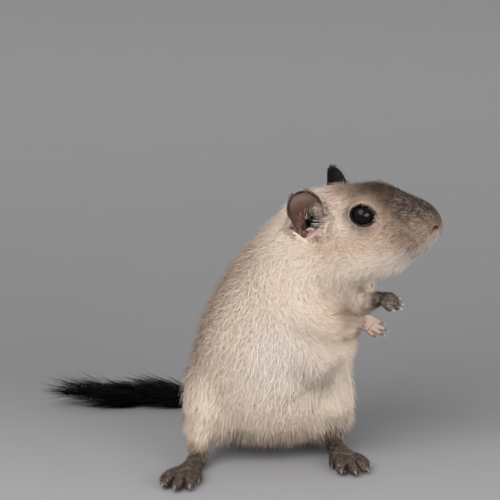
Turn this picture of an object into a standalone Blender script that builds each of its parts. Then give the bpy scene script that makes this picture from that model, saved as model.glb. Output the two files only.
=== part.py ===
# A Mongolian gerbil, life size, standing up on its hind feet and looking over its left shoulder.
# All sizes below are millimetres. The last step turns the finished nodes into metres.
# +Z is up, +X is the way the head looks and -Y is the side that the belly faces.
import math
import random

import bpy
import bmesh
import numpy as np
from mathutils import Matrix, Vector

MM = 0.001
GAP = 0.3  # kept between nodes that touch
VOXEL = 0.6  # grain at which the body's lofts are fused
# How finely the fused forms are kept.
BODY_TRIANGLES = 3900
FOOT_TRIANGLES = 640
HAND_TRIANGLES = 440
FOOTPRINT_CENTRE = (-8.2, 7.6)  # of the whole model, moved to the origin at the end

# The head's own axes: nose, left and up. It looks 20 degrees off +X, a little down, left side higher.
HEAD_YAW, HEAD_PITCH, HEAD_ROLL = 20.0, -5.0, 4.0
EYE_LINE = Vector((28.85, -3.2, 70.4))  # midway between the eyes
EYE_RADIUS = 3.75
EYE_SPACING = 6.6  # from the midline to each eye's centre
EYE_FORWARD = 0.4
LID_WIDTH, LID_HEIGHT, LID_THICKNESS = 3.75, 3.25, 0.5
LID_POINT = 0.12  # how far the front corner is drawn out, as a share of the width
# The line of the mouth, an arc below the nose: its centre, its reach ahead and aside, its height
# at the middle, how much lower its corners are and how far it turns to each side.
MOUTH_CENTRE, MOUTH_AHEAD, MOUTH_ASIDE = 9.0, 8.4, 6.4
MOUTH_HEIGHT, MOUTH_SAG, MOUTH_TURN = -7.6, 1.6, 112.0
MOUTH_DEPTH, MOUTH_OPENING = 1.5, 0.22  # half sizes of the cut
NOSTRIL_LINE = [(19.7, 2.2, -1.9), (18.3, 2.3, -1.3), (16.9, 2.2, -0.5)]
NOSTRIL_HALVES = (0.5, 0.75)
EAR_ROOT = (-10.6, 12.0, -7.6)  # the foot of the ear's rim, ahead, aside and above the eyes
EAR_RISE = (-0.36, 0.1, 0.93)
EAR_OPENING = {"right": (0.41, -0.91, 0.1), "left": (0.56, 0.82, 0.1)}
EAR_LENGTH, EAR_THICKNESS = 14.2, 0.8
EAR_CURL = (145.0, 58.0)  # half the angle that the cup wraps round, at its root and its tip
# Half widths of the ear from root to tip, each at a share of its length.
EAR_WIDTHS = [(0.0, 2.4), (0.2, 3.7), (0.4, 4.3), (0.62, 4.8), (0.82, 4.2), (0.94, 2.8), (1.0, 1.3)]

# Rings of the head: distance ahead of the eyes, height of the centre over them, half width, half height.
HEAD_RINGS = [
    (-20.0, -11.8, 10.2, 9.6),
    (-14.0, -10.0, 12.0, 12.4),
    (-8.0, -8.9, 12.2, 14.0),
    (-2.4, -8.1, 11.3, 14.1),
    (2.0, -6.8, 10.2, 13.3),
    (6.2, -5.0, 8.9, 12.0),
    (10.5, -3.5, 7.5, 9.9),
    (14.6, -1.8, 5.9, 7.2),
    (17.8, -0.2, 4.1, 4.5),
]
HEAD_TAPER = 0.14  # how much narrower the crown is than the cheeks
# Forms that stand out from the head: centre ahead, aside and over the eyes, and radii.
SWELLINGS = [
    ((10.4, 0.0, -10.6), (4.6, 3.6, 3.0)),
    ((16.2, 0.0, 1.0), (3.4, 3.2, 2.6)),
]
SWELLING_PAIRS = [
    ((13.6, 3.5, -3.6), (4.6, 3.4, 4.6)),
    ((-3.0, 6.5, -13.0), (9.0, 6.0, 8.0)),
    ((1.0, 4.8, 1.7), (5.4, 3.6, 3.4)),
]
# Where head, neck and torso meet: the cuts' shared normal, as its nose and up shares, and how far
# behind the eyes each one lies.
NECK_NOSE, NECK_UP = 0.74, 0.67
HEAD_CUT, NECK_CUT = 16.5, 25.0

# Rings of the trunk, rump to neck: centre, half width, half depth, and the way its belly faces in
# degrees, where 90 faces -Y and 0 faces +X.
TRUNK_RINGS = [
    ((1.5, 4.2, 9.4), 18.4, 15.0, 67.0),
    ((1.8, 4.6, 14.0), 20.6, 17.0, 67.0),
    ((2.2, 4.8, 21.0), 22.0, 18.4, 67.0),
    ((3.6, 4.2, 30.0), 22.2, 18.8, 63.0),
    ((6.2, 2.8, 40.0), 20.8, 18.4, 55.0),
    ((9.8, 0.8, 49.0), 18.4, 17.0, 44.0),
    ((14.4, -0.8, 56.5), 15.6, 15.0, 32.0),
    ((20.4, -2.2, 61.5), 12.6, 12.8, 24.0),
]

# Limbs: rows of joint position and radius, from the body outwards.
THIGH_ROWS = {
    "right": [((-8.0, 6.0, 22.0), 12.0), ((-12.2, 0.0, 19.0), 10.3), ((-14.8, -4.0, 13.6), 7.7)],
    "left": [((10.5, 8.5, 22.0), 12.0), ((14.8, 3.0, 20.5), 10.4), ((18.2, 0.6, 14.4), 7.6)],
}
SHANK_ROWS = {
    "right": [((-14.8, -4.2, 13.6), 7.0), ((-16.3, -6.2, 9.0), 5.2), ((-17.0, -8.4, 5.6), 3.1),
              ((-17.2, -9.2, 3.0), 2.2)],
    "left": [((18.2, 0.8, 14.4), 6.9), ((19.3, 2.4, 9.2), 5.1), ((19.8, 3.6, 5.6), 3.2),
             ((19.8, 4.0, 3.0), 2.3)],
}
# The parts of the body that are cut away as the limbs, as eggs round the upper arm and the thigh.
ARM_CENTRE = {"right": (15.8, -11.6, 43.6), "left": (25.6, 2.6, 46.4)}
ARM_WAY = {"right": (0.88, -0.24, -0.38), "left": (0.7, -0.66, -0.26)}
ARM_REACH = (17.0, 9.0, 9.4)
LEG_CENTRE = {"right": (-17.5, -3.0, 14.5), "left": (20.4, 2.0, 15.0)}
LEG_REACH = (9.5, 15.0, 17.0)
KNEE_CUT = 10.5
ARM_ROWS = {
    "right": [((5.0, -6.4, 50.5), 8.4), ((10.5, -10.6, 44.5), 7.2), ((15.4, -12.9, 40.6), 5.7),
              ((20.6, -13.4, 40.2), 4.8), ((24.6, -13.2, 40.6), 4.0), ((27.0, -13.2, 41.4), 3.0)],
    "left": [((19.0, 9.0, 50.0), 8.0), ((24.0, 6.0, 45.0), 6.6), ((26.6, 2.8, 43.0), 5.0),
             ((28.6, -0.4, 43.8), 4.0), ((31.6, -3.2, 45.0), 2.8)],
}
WRIST = {"right": (25.6, -13.3, 41.6), "left": (30.8, -2.8, 45.0)}

# Feet: the heel on the floor, the way the middle toe points in degrees, then rows from the ankle
# forwards: ahead, aside and over the heel, half width and half height.
HEEL = {"right": (-16.8, -9.0), "left": (19.2, 4.2)}
FOOT_HEADING = {"right": -105.0, "left": -76.0}
ANKLE_CUT = 5.0  # height of the face between shank and foot
FOOT_ROWS = [(1.6, 0, 6.5, 2.2, 2.3), (1.0, 0, 3.9, 2.3, 2.5), (3.4, 0, 2.2, 2.3, 2.1),
             (9.0, 0, 2.0, 2.5, 1.8), (14.0, 0, 1.8, 3.4, 1.6), (17.0, 0, 1.5, 3.2, 1.3)]
# Toes from the inner to the outer: root ahead of the heel, root to the side, splay, length, radius.
TOES = [
    (11.5, 2.3, 19.0, 5.2, 0.95),
    (15.6, 2.0, 10.0, 7.6, 1.15),
    (16.6, 0.2, 1.0, 8.4, 1.2),
    (15.8, -1.7, -10.0, 7.6, 1.15),
    (13.0, -2.5, -20.0, 6.4, 1.0),
]
CLAW_LENGTH = 2.1

# Hands: the way the fingers point, the way the back of the hand faces, how far the fingers droop,
# and rows like those of the feet.
HAND_POINTS = {"right": (0.94, -0.12, -0.3), "left": (0.9, -0.42, 0.08)}
HAND_BACK = {"right": (-0.1, -0.8, 0.6), "left": (0.1, -0.5, 0.86)}
FINGER_DROOP = {"right": 0.12, "left": 0.75}
HAND_ROWS = [(-0.5, 0, 0, 1.9, 1.8), (1.6, 0, 0.1, 2.1, 1.7), (4.2, 0, 0.3, 2.1, 1.3)]
FINGERS = [
    (3.0, 1.5, 6.0, 3.4, 0.62),
    (3.7, 0.55, 2.0, 4.3, 0.68),
    (3.7, -0.5, -3.0, 4.0, 0.68),
    (3.0, -1.4, -8.0, 3.0, 0.62),
]
FINGER_CLAW = 1.5

# The tail: centre line from the rump, down to the floor and away to the side; radius over its hair.
TAIL_LINE = [
    (-4.2, 16.0, 11.4), (-5.4, 24.0, 8.0), (-7.0, 32.0, 5.0), (-10.6, 39.4, 3.6), (-17.6, 44.4, 3.5),
    (-28.0, 46.4, 3.5), (-40.0, 46.6, 3.6), (-51.0, 46.3, 3.9), (-59.5, 46.0, 3.8), (-63.5, 45.9, 3.3),
]
TAIL_RADII = [4.4, 3.7, 3.5, 3.4, 3.4, 3.5, 3.7, 4.1, 3.6, 2.2]
# The lengths that the tail is parted into, each from a share of the way along it to the next.
TAIL_LENGTHS = {"tail_root": 0.0, "tail_bend": 0.25, "tail_middle": 0.48, "tail_tip": 0.73}
TAIL_CORE = 0.5  # the tail under its hair, as a share of the hair's radius
TAIL_CORE_END = 0.9  # how far along the tail the core goes
# Locks of the tail's hair.
LOCK_ROWS, LOCKS_AROUND = 9, 5
LOCK_LENGTH, LOCK_WIDTH, LOCK_THICKNESS = 15.5, 4.8, 2.1
LOCK_SEED = 11

COLOURS = {
    "cream_fur": (0.62, 0.52, 0.43),
    "dark_fur": (0.11, 0.085, 0.075),
    "black_fur": (0.012, 0.011, 0.012),
    "eye": (0.01, 0.008, 0.01),
}


def material(name, roughness=0.8):
    found = bpy.data.materials.get(name)
    if found:
        return found
    made = bpy.data.materials.new(name)
    made.use_nodes = True
    shader = made.node_tree.nodes["Principled BSDF"]
    shader.inputs["Base Color"].default_value = (*COLOURS[name], 1.0)
    shader.inputs["Roughness"].default_value = roughness
    shader.inputs["Metallic"].default_value = 0.0
    return made


def mesh_object(name, bm):
    bmesh.ops.recalc_face_normals(bm, faces=bm.faces)
    mesh = bpy.data.meshes.new(name)
    bm.to_mesh(mesh)
    bm.free()
    obj = bpy.data.objects.new(name, mesh)
    bpy.context.scene.collection.objects.link(obj)
    return obj


def drop(obj):
    bpy.data.objects.remove(obj, do_unlink=True)


def applied(obj):
    """Bakes the object's modifiers into its mesh."""
    graph = bpy.context.evaluated_depsgraph_get()
    mesh = bpy.data.meshes.new_from_object(obj.evaluated_get(graph))
    obj.modifiers.clear()
    obj.data = mesh
    return obj


def boolean(obj, other, operation):
    """Cuts or joins one closed mesh with another, and removes the other."""
    cut = obj.modifiers.new(operation.title(), "BOOLEAN")
    cut.operation = operation
    cut.solver = "EXACT"
    cut.object = other
    applied(obj)
    drop(other)
    return obj


def joined(obj, pieces):
    """Joins a node's pieces by one union on a collection of closed meshes."""
    group = bpy.data.collections.new(obj.name + "_pieces")
    bpy.context.scene.collection.children.link(group)
    for piece in pieces:
        bpy.context.scene.collection.objects.unlink(piece)
        group.objects.link(piece)
    union = obj.modifiers.new("Join", "BOOLEAN")
    union.operation = "UNION"
    union.solver = "EXACT"
    union.operand_type = "COLLECTION"
    union.collection = group
    applied(obj)
    for piece in pieces:
        drop(piece)
    bpy.data.collections.remove(group)
    return obj


def largest_only(obj):
    """Keeps the largest closed surface of a mesh, and drops any scrap or sealed hollow."""
    bm = bmesh.new()
    bm.from_mesh(obj.data)
    bmesh.ops.triangulate(bm, faces=bm.faces)
    seen, shells = set(), []
    for face in bm.faces:
        if face in seen:
            continue
        shell, edge_of_shell = [], [face]
        seen.add(face)
        while edge_of_shell:
            current = edge_of_shell.pop()
            shell.append(current)
            for edge in current.edges:
                for near in edge.link_faces:
                    if near not in seen:
                        seen.add(near)
                        edge_of_shell.append(near)
        shells.append(shell)
    sizes = [sum(f.calc_area() for f in shell) for shell in shells]
    best = shells[sizes.index(max(sizes))]
    keep = set(best)
    bmesh.ops.delete(bm, geom=[f for f in bm.faces if f not in keep], context="FACES")
    bm.to_mesh(obj.data)
    bm.free()
    return obj


def smooth_through(rows, per_span):
    """Points on a Catmull-Rom curve through rows of numbers."""
    rows = np.array(rows, float)
    padded = np.vstack([2 * rows[0] - rows[1], rows, 2 * rows[-1] - rows[-2]])
    made = []
    for i in range(1, len(padded) - 2):
        a, b, c, d = padded[i - 1 : i + 3]
        for k in range(per_span):
            t = k / per_span
            made.append(
                0.5 * (2 * b + (c - a) * t + (2 * a - 5 * b + 4 * c - d) * t**2
                       + (3 * b - a - 3 * c + d) * t**3)
            )
    made.append(rows[-1])
    return np.array(made)


def loft(name, centres, sides, halves, around=20, cap=(0.7, 0.7), taper=0.0, cap_rings=3):
    """A closed body through oval rings. sides are the vectors of each ring's first half axis, and
    halves the half sizes along it and across it. cap gives the length of each rounded end as a
    share of the end ring's size."""
    centres = [Vector(c) for c in centres]
    count = len(centres)
    rings = []
    for i in range(count):
        ahead = centres[min(i + 1, count - 1)] - centres[max(i - 1, 0)]
        tangent = ahead.normalized()
        side = Vector(sides[i])
        side = (side - tangent * side.dot(tangent)).normalized()
        rings.append((centres[i], tangent, side, tangent.cross(side), halves[i]))

    def end_rings(ring, share, outward):
        centre, tangent, side, front, (a, b) = ring
        reach = share * (a + b) / 2
        made = []
        for k in range(1, cap_rings + 1):
            turn = math.pi / 2 * k / (cap_rings + 1)
            made.append((centre + tangent * outward * reach * math.sin(turn), tangent, side, front,
                         (a * math.cos(turn), b * math.cos(turn))))
        return made, centre + tangent * outward * reach

    first, first_tip = end_rings(rings[0], cap[0], -1)
    last, last_tip = end_rings(rings[-1], cap[1], 1)
    rings = first[::-1] + rings + last
    bm = bmesh.new()
    loops = []
    for centre, _, side, front, (a, b) in rings:
        loop = []
        for k in range(around):
            turn = 2 * math.pi * k / around
            wide = a * (1 - taper * math.sin(turn))
            loop.append(bm.verts.new(centre + side * wide * math.cos(turn) + front * b * math.sin(turn)))
        loops.append(loop)
    for low, high in zip(loops, loops[1:]):
        for k in range(around):
            bm.faces.new((low[k], low[(k + 1) % around], high[(k + 1) % around], high[k]))
    for loop, tip in ((loops[0], first_tip), (loops[-1], last_tip)):
        point = bm.verts.new(tip)
        for k in range(around):
            bm.faces.new((loop[k], loop[(k + 1) % around], point))
    return mesh_object(name, bm)


def tube(name, rows, per_span=4, around=14, side=(0.0, 1.0, 0.3), cap=(0.8, 0.8), grow=0.0):
    """A round limb through rows of position and radius."""
    path = smooth_through([(*p, r) for p, r in rows], per_span)
    return loft(name, [p[:3] for p in path], [side] * len(path),
                [(p[3] + grow, p[3] + grow) for p in path], around, cap)


def ellipsoid(name, centre, radii, axes=None, segments=24, rings=14, grow=0.0):
    bm = bmesh.new()
    bmesh.ops.create_uvsphere(bm, u_segments=segments, v_segments=rings, radius=1.0)
    turn = axes.to_4x4() if axes else Matrix.Identity(4)
    sizes = Matrix.Diagonal((*[r + grow for r in radii], 1.0))
    bmesh.ops.transform(bm, matrix=Matrix.Translation(centre) @ turn @ sizes, verts=bm.verts)
    return mesh_object(name, bm)


def block_ahead(point, normal, size=160.0):
    """A box that fills the space on one side of a plane."""
    normal = Vector(normal).normalized()
    bm = bmesh.new()
    bmesh.ops.create_cube(bm, size=size)
    turn = normal.to_track_quat("Z", "Y").to_matrix().to_4x4()
    place = Matrix.Translation(Vector(point) + normal * size / 2) @ turn
    bmesh.ops.transform(bm, matrix=place, verts=bm.verts)
    return mesh_object("block", bm)


def head_axes():
    """Columns are the head's nose, left and up directions."""
    yaw = Matrix.Rotation(math.radians(-HEAD_YAW), 3, "Z")
    pitch = Matrix.Rotation(math.radians(-HEAD_PITCH), 3, "Y")
    roll = Matrix.Rotation(math.radians(HEAD_ROLL), 3, "X")
    return yaw @ pitch @ roll


HEAD = head_axes()


def on_head(ahead, left, up):
    return EYE_LINE + HEAD @ Vector((ahead, left, up))


def facing_side(degrees):
    """The animal's left where its belly faces the given way."""
    turn = math.radians(degrees)
    return (math.sin(turn), math.cos(turn), 0.0)


def trunk():
    rows = smooth_through([(*c, a, b, yaw) for c, a, b, yaw in TRUNK_RINGS], 4)
    return loft("trunk", [r[:3] for r in rows], [facing_side(r[5]) for r in rows],
                [(r[3], r[4]) for r in rows], around=36, cap=(0.42, 0.5), cap_rings=5)


def skull():
    rows = smooth_through(HEAD_RINGS, 4)
    return loft("skull", [on_head(r[0], 0, r[1]) for r in rows], [HEAD.col[1]] * len(rows),
                [(r[2], r[3]) for r in rows], around=36, cap=(0.6, 0.45), taper=HEAD_TAPER, cap_rings=5)


def head_swellings():
    """Chin, nose bridge, whisker pads, cheeks and brows."""
    made = [ellipsoid("swelling", on_head(*centre), radii, HEAD) for centre, radii in SWELLINGS]
    for (ahead, aside, up), radii in SWELLING_PAIRS:
        for side in (1, -1):
            made.append(ellipsoid("swelling", on_head(ahead, side * aside, up), radii, HEAD))
    return made


def fused_body():
    """Trunk, head and limbs run together into one smooth body."""
    pieces = [skull(), *head_swellings()]
    for which in ("right", "left"):
        pieces.append(tube("thigh", THIGH_ROWS[which]))
        pieces.append(tube("shank", SHANK_ROWS[which], cap=(0.8, 0.2)))
        pieces.append(tube("arm", ARM_ROWS[which], cap=(0.8, 0.2)))
    body = joined(trunk(), pieces)
    body.name = "body"
    fuse = body.modifiers.new("Fuse", "REMESH")
    fuse.mode = "VOXEL"
    fuse.voxel_size = VOXEL
    soften = body.modifiers.new("Soften", "SMOOTH")
    soften.factor = 0.5
    soften.iterations = 12
    return thinned(applied(body), BODY_TRIANGLES)


def thinned(obj, triangles):
    """Merges triangles where the surface is flattest, down to about the given count."""
    obj.data.calc_loop_triangles()
    thin = obj.modifiers.new("Thin", "DECIMATE")
    thin.ratio = min(1.0, triangles / len(obj.data.loop_triangles))
    return largest_only(applied(obj))


def taken(rest, name, region):
    """Cuts a region out of the rest as its own node, and leaves the gap between the two.
    region(grow) makes the cutter."""
    node = rest.copy()
    node.data = rest.data.copy()
    node.name = name
    bpy.context.scene.collection.objects.link(node)
    largest_only(boolean(node, region(0.0), "INTERSECT"))
    largest_only(boolean(rest, region(GAP), "DIFFERENCE"))
    return node


def beyond(point, normal):
    """A region for taken: all that lies ahead of a plane."""
    normal = Vector(normal).normalized()
    return lambda grow: block_ahead(Vector(point) - normal * grow, normal)


def egg(centre, radii, axes=None):
    """A region for taken: all that lies inside an ellipsoid."""
    return lambda grow: ellipsoid("region", centre, radii, axes, 16, 10, grow)


def eye(which, side):
    return ellipsoid("eye_" + which, on_head(EYE_FORWARD, side * EYE_SPACING, 0.0), [EYE_RADIUS] * 3,
                     segments=14, rings=9)


def eye_axes(side):
    """Columns point out of the eye, towards its front corner and up its opening."""
    out = HEAD @ Vector((0.22, side * 0.94, 0.26)).normalized()
    corner = HEAD @ Vector((0.97, 0.0, -0.02))
    corner = (corner - out * corner.dot(out)).normalized()
    return out, corner, out.cross(corner) * side * -1


def lids(side):
    """The rim of the eyelids: a thick almond ring on the eyeball, drawn out at the front corner."""
    out, corner, up = eye_axes(side)
    centre = on_head(EYE_FORWARD, side * EYE_SPACING, 0.0)
    path = []
    steps, sides = 14, 4
    for k in range(steps):
        turn = 2 * math.pi * k / steps
        wide = LID_WIDTH * math.cos(turn)
        if wide > 0:
            wide *= 1.0 + LID_POINT * math.cos(turn) ** 4
        high = LID_HEIGHT * math.sin(turn) * (1 - LID_POINT * max(0.0, math.cos(turn)))
        flat = min(0.97, math.hypot(wide, high) / (EYE_RADIUS + 0.6))
        lift = (EYE_RADIUS + 0.35) * math.sqrt(1 - flat * flat)
        path.append(centre + corner * wide + up * high + out * lift)
    bm = bmesh.new()
    loops = []
    for k in range(steps):
        tangent = (path[(k + 1) % steps] - path[k - 1]).normalized()
        across = (path[k] - centre).normalized()
        other = tangent.cross(across)
        loops.append([
            bm.verts.new(path[k] + LID_THICKNESS * (across * math.cos(a) + other * math.sin(a) * 1.5))
            for a in (2 * math.pi * j / sides for j in range(sides))
        ])
    for k in range(steps):
        low, high = loops[k], loops[(k + 1) % steps]
        for j in range(sides):
            bm.faces.new((low[j], low[(j + 1) % sides], high[(j + 1) % sides], high[j]))
    return mesh_object("lids", bm)


def mouth_cutter():
    """A thin blade along the line of the mouth, from corner to corner under the nose."""
    rows = []
    steps = 6
    for k in range(-steps, steps + 1):
        turn = k / steps * math.radians(MOUTH_TURN)
        rows.append(on_head(MOUTH_CENTRE + MOUTH_AHEAD * math.cos(turn), MOUTH_ASIDE * math.sin(turn),
                            MOUTH_HEIGHT - MOUTH_SAG * abs(k / steps)))
    middle = on_head(MOUTH_CENTRE - 3.0, 0, MOUTH_HEIGHT)
    outward = [(p - middle).normalized() for p in rows]
    return loft("mouth_cut", rows, outward, [(MOUTH_DEPTH, MOUTH_OPENING)] * len(rows), around=6,
                cap=(0.3, 0.3), cap_rings=1)


def nostril_cutter(side):
    rows = [on_head(ahead, side * aside, up) for ahead, aside, up in NOSTRIL_LINE]
    return loft("nostril", rows, [HEAD.col[1]] * len(rows), [NOSTRIL_HALVES] * len(rows), around=7,
                cap=(0.6, 0.6), cap_rings=1)


def finish_head(head):
    """Adds the lids, and cuts eye sockets, mouth and nostrils into the head."""
    joined(head, [lids(1), lids(-1)])
    for side in (1, -1):
        boolean(head, ear_hollow(side), "DIFFERENCE")
        socket = ellipsoid("socket", on_head(EYE_FORWARD, side * EYE_SPACING, 0.0),
                           [EYE_RADIUS + GAP] * 3, segments=14, rings=9)
        boolean(head, socket, "DIFFERENCE")
        boolean(head, nostril_cutter(side), "DIFFERENCE")
    boolean(head, mouth_cutter(), "DIFFERENCE")
    return largest_only(head)


def ear_frame(side):
    """The ear's root on its rim line, and the ways it rises, opens and spreads."""
    rise = (HEAD @ Vector((EAR_RISE[0], side * EAR_RISE[1], EAR_RISE[2]))).normalized()
    opening = HEAD @ Vector(EAR_OPENING["left" if side > 0 else "right"])
    opening = (opening - rise * opening.dot(rise)).normalized()
    return on_head(EAR_ROOT[0], side * EAR_ROOT[1], EAR_ROOT[2]), rise, opening, rise.cross(opening)


def ear_arcs(side, grow, levels=8, around=9):
    """The cup's arc at each level, with its radius changed by grow."""
    root, rise, opening, across = ear_frame(side)
    rows = smooth_through(EAR_WIDTHS, 6)
    arcs = []
    for i in range(levels):
        share = i / (levels - 1)
        half = float(np.interp(share, rows[:, 0], rows[:, 1]))
        curl = math.radians(EAR_CURL[0] + (EAR_CURL[1] - EAR_CURL[0]) * min(1.0, share * 1.25))
        radius = half / math.sin(min(curl, math.pi / 2))
        arc = []
        for k in range(around):
            turn = curl * (2 * k / (around - 1) - 1)
            arc.append(root + rise * EAR_LENGTH * share + across * (radius + grow) * math.sin(turn)
                       - opening * ((radius + grow) * math.cos(turn) - radius * math.cos(curl)))
        arcs.append(arc)
    return arcs


def ear(which, side):
    """A thin rounded cup that opens outwards and forwards, closing to a tube at its root."""
    bm = bmesh.new()
    outer = [[bm.verts.new(p) for p in arc] for arc in ear_arcs(side, EAR_THICKNESS / 2)]
    inner = [[bm.verts.new(p) for p in arc] for arc in ear_arcs(side, -EAR_THICKNESS / 2)]
    last_level, last_point = len(outer) - 1, len(outer[0]) - 1
    for i in range(last_level):
        for k in range(last_point):
            bm.faces.new((outer[i][k], outer[i][k + 1], outer[i + 1][k + 1], outer[i + 1][k]))
            bm.faces.new((inner[i][k + 1], inner[i][k], inner[i + 1][k], inner[i + 1][k + 1]))
        for k in (0, last_point):
            bm.faces.new((outer[i][k], outer[i + 1][k], inner[i + 1][k], inner[i][k]))
    for i in (0, last_level):
        for k in range(last_point):
            bm.faces.new((outer[i][k], outer[i][k + 1], inner[i][k + 1], inner[i][k]))
    return mesh_object("ear_" + which, bm)


def ear_hollow(side):
    """The room that the ear's cup needs in the side of the head, open to the outside."""
    _, rise, opening, _ = ear_frame(side)
    bm = bmesh.new()
    levels = []
    for arc in ear_arcs(side, EAR_THICKNESS / 2 + GAP):
        loop = arc + [arc[-1] + opening * 5.0, arc[0] + opening * 5.0]
        levels.append(loop)
    levels[0] = [p - rise * GAP for p in levels[0]]
    levels = [[bm.verts.new(p) for p in loop] for loop in levels]
    count = len(levels[0])
    for low, high in zip(levels, levels[1:]):
        for k in range(count):
            bm.faces.new((low[k], low[(k + 1) % count], high[(k + 1) % count], high[k]))
    bm.faces.new(levels[0])
    bm.faces.new(levels[-1])
    return mesh_object("ear_hollow", bm)


def trimmed_to(node, surface, gap=GAP):
    """Cuts a node back from a surface that it grows from, so that the two meet face to face."""
    cutter = surface.copy()
    cutter.data = surface.data.copy()
    bpy.context.scene.collection.objects.link(cutter)
    bm = bmesh.new()
    bm.from_mesh(cutter.data)
    bm.normal_update()
    moved = [(v, v.co + v.normal * gap) for v in bm.verts]
    for v, place in moved:
        v.co = place
    bm.to_mesh(cutter.data)
    bm.free()
    return largest_only(boolean(node, cutter, "DIFFERENCE"))


def digit(name, root, tip, radius, arch, lift):
    """A toe or finger: three knuckles, slightly arched, with a rounded pad."""
    middle = (root + tip) / 2 + lift * arch
    path = smooth_through([(*root, radius), (*middle, radius * 0.95), (*tip, radius * 0.85)], 2)
    return loft(name, [p[:3] for p in path], [lift.cross(tip - root)] * len(path),
                [(p[3], p[3]) for p in path], around=8, cap=(0.6, 0.8), cap_rings=1)


def claw(name, root, ahead, down, length, radius):
    """A curved spike, round at its root and bent down to a point."""
    rows = []
    for k in range(4):
        s = k / 3
        rows.append((root + ahead * length * s + down * length * 0.35 * s * s, radius * (1 - 0.9 * s)))
    return loft(name, [p for p, _ in rows], [ahead.cross(down)] * 4, [(r, r * 1.2) for _, r in rows],
                around=5, cap=(0.3, 0.3), cap_rings=1)


def extremity(name, origin, ahead, left, up, body_rows, digits, claw_length, arch, droop):
    """A foot or hand: the sole or palm, its digits and their claws joined into one body."""

    def place(x, y, z):
        return origin + ahead * x + left * y + up * z

    path = smooth_through(body_rows, 2)
    base = loft(name, [place(*p[:3]) for p in path], [left] * len(path), [(p[3], p[4]) for p in path],
                around=14, cap=(0.5, 0.5), cap_rings=2)
    pieces = []
    for reach, aside, splay, length, radius in digits:
        turn = math.radians(splay)
        way = (ahead * math.cos(turn) + left * math.sin(turn)).normalized()
        root = place(reach, aside, radius + 0.35)
        tip = root + way * length - up * droop * length
        pieces.append(digit("digit", root - way * 1.2, tip, radius, arch * radius, up))
        pieces.append(claw("claw", tip + way * radius * 0.2 + up * radius * 0.25, way, -up, claw_length,
                           radius * 0.5))
    return joined(base, pieces)


def foot(which, side):
    heading = math.radians(FOOT_HEADING[which])
    ahead = Vector((math.cos(heading), math.sin(heading), 0.0))
    left = Vector((-ahead.y, ahead.x, 0.0))
    up = Vector((0.0, 0.0, 1.0))
    inner = [(reach, -side * aside, -side * splay, length, radius)
             for reach, aside, splay, length, radius in TOES]
    made = extremity("foot_" + which, Vector((*HEEL[which], 0.0)), ahead, left, up, FOOT_ROWS, inner,
                     CLAW_LENGTH, 0.55, 0.02)
    thinned(made, FOOT_TRIANGLES)
    boolean(made, block_ahead((0, 0, 0), (0, 0, -1)), "DIFFERENCE")
    above = block_ahead((0, 0, ANKLE_CUT - GAP), (0, 0, 1))
    return largest_only(boolean(made, above, "DIFFERENCE"))


def hand(which, side):
    ahead = Vector(HAND_POINTS[which]).normalized()
    up = Vector(HAND_BACK[which])
    up = (up - ahead * up.dot(ahead)).normalized()
    left = up.cross(ahead)
    origin = Vector(WRIST[which]) - ahead * 0.8
    digits = [(reach, -side * aside, -side * splay, length, radius)
              for reach, aside, splay, length, radius in FINGERS]
    made = extremity("hand_" + which, origin, ahead, left, up, HAND_ROWS, digits, FINGER_CLAW, 0.5,
                     FINGER_DROOP[which])
    thinned(made, HAND_TRIANGLES)
    behind = block_ahead(origin + ahead * 1.0, -ahead)
    return largest_only(boolean(made, behind, "DIFFERENCE"))


def tail_path():
    """Points along the tail with the hair's radius there, and how far along each one lies."""
    rows = smooth_through([(*p, r) for p, r in zip(TAIL_LINE, TAIL_RADII)], 5)
    steps = np.linalg.norm(np.diff(rows[:, :3], axis=0), axis=1)
    return rows, np.concatenate([[0.0], np.cumsum(steps)])


def on_tail(path, along):
    """Place, direction, side, top and the hair's radius at a distance along the tail."""
    rows, lengths = path

    def place_at(distance):
        return Vector([float(np.interp(distance, lengths, rows[:, k])) for k in range(3)])

    radius = float(np.interp(along, lengths, rows[:, 3]))
    inside = min(along, lengths[-1])
    ahead = (place_at(inside) - place_at(inside - 1.0) if inside > 1.0 else place_at(1.0) - place_at(0.0))
    ahead.normalize()
    side = ahead.cross(Vector((0.0, 0.0, 1.0))).normalized()
    return place_at(inside) + ahead * (along - inside), ahead, side, side.cross(ahead), radius


def lock(path, start, angle, length, width, reach):
    """A flat tapered lock that leaves the core and lies back along the tail."""
    loops = []
    bm = bmesh.new()
    tip = None
    for share, wide, thick in ((0.0, 0.8, 1.0), (0.35, 1.0, 0.9), (0.72, 0.7, 0.6), (1.0, 0.0, 0.0)):
        place, ahead, side, top, radius = on_tail(path, start + length * share)
        out = side * math.cos(angle) + top * math.sin(angle)
        centre = place + out * radius * (0.12 + (reach - 0.12) * math.sin(share * math.pi / 2) ** 0.8)
        across = ahead.cross(out)
        if wide == 0:
            tip = bm.verts.new(centre)
            continue
        offsets = (across * wide * width, out * thick * LOCK_THICKNESS,
                   -across * wide * width, -out * thick * LOCK_THICKNESS)
        loops.append([bm.verts.new(centre + offset / 2) for offset in offsets])
    for low, high in zip(loops, loops[1:]):
        for k in range(4):
            bm.faces.new((low[k], low[(k + 1) % 4], high[(k + 1) % 4], high[k]))
    for k in range(4):
        bm.faces.new((loops[-1][k], loops[-1][(k + 1) % 4], tip))
    bm.faces.new(loops[0])
    return mesh_object("lock", bm)


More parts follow.
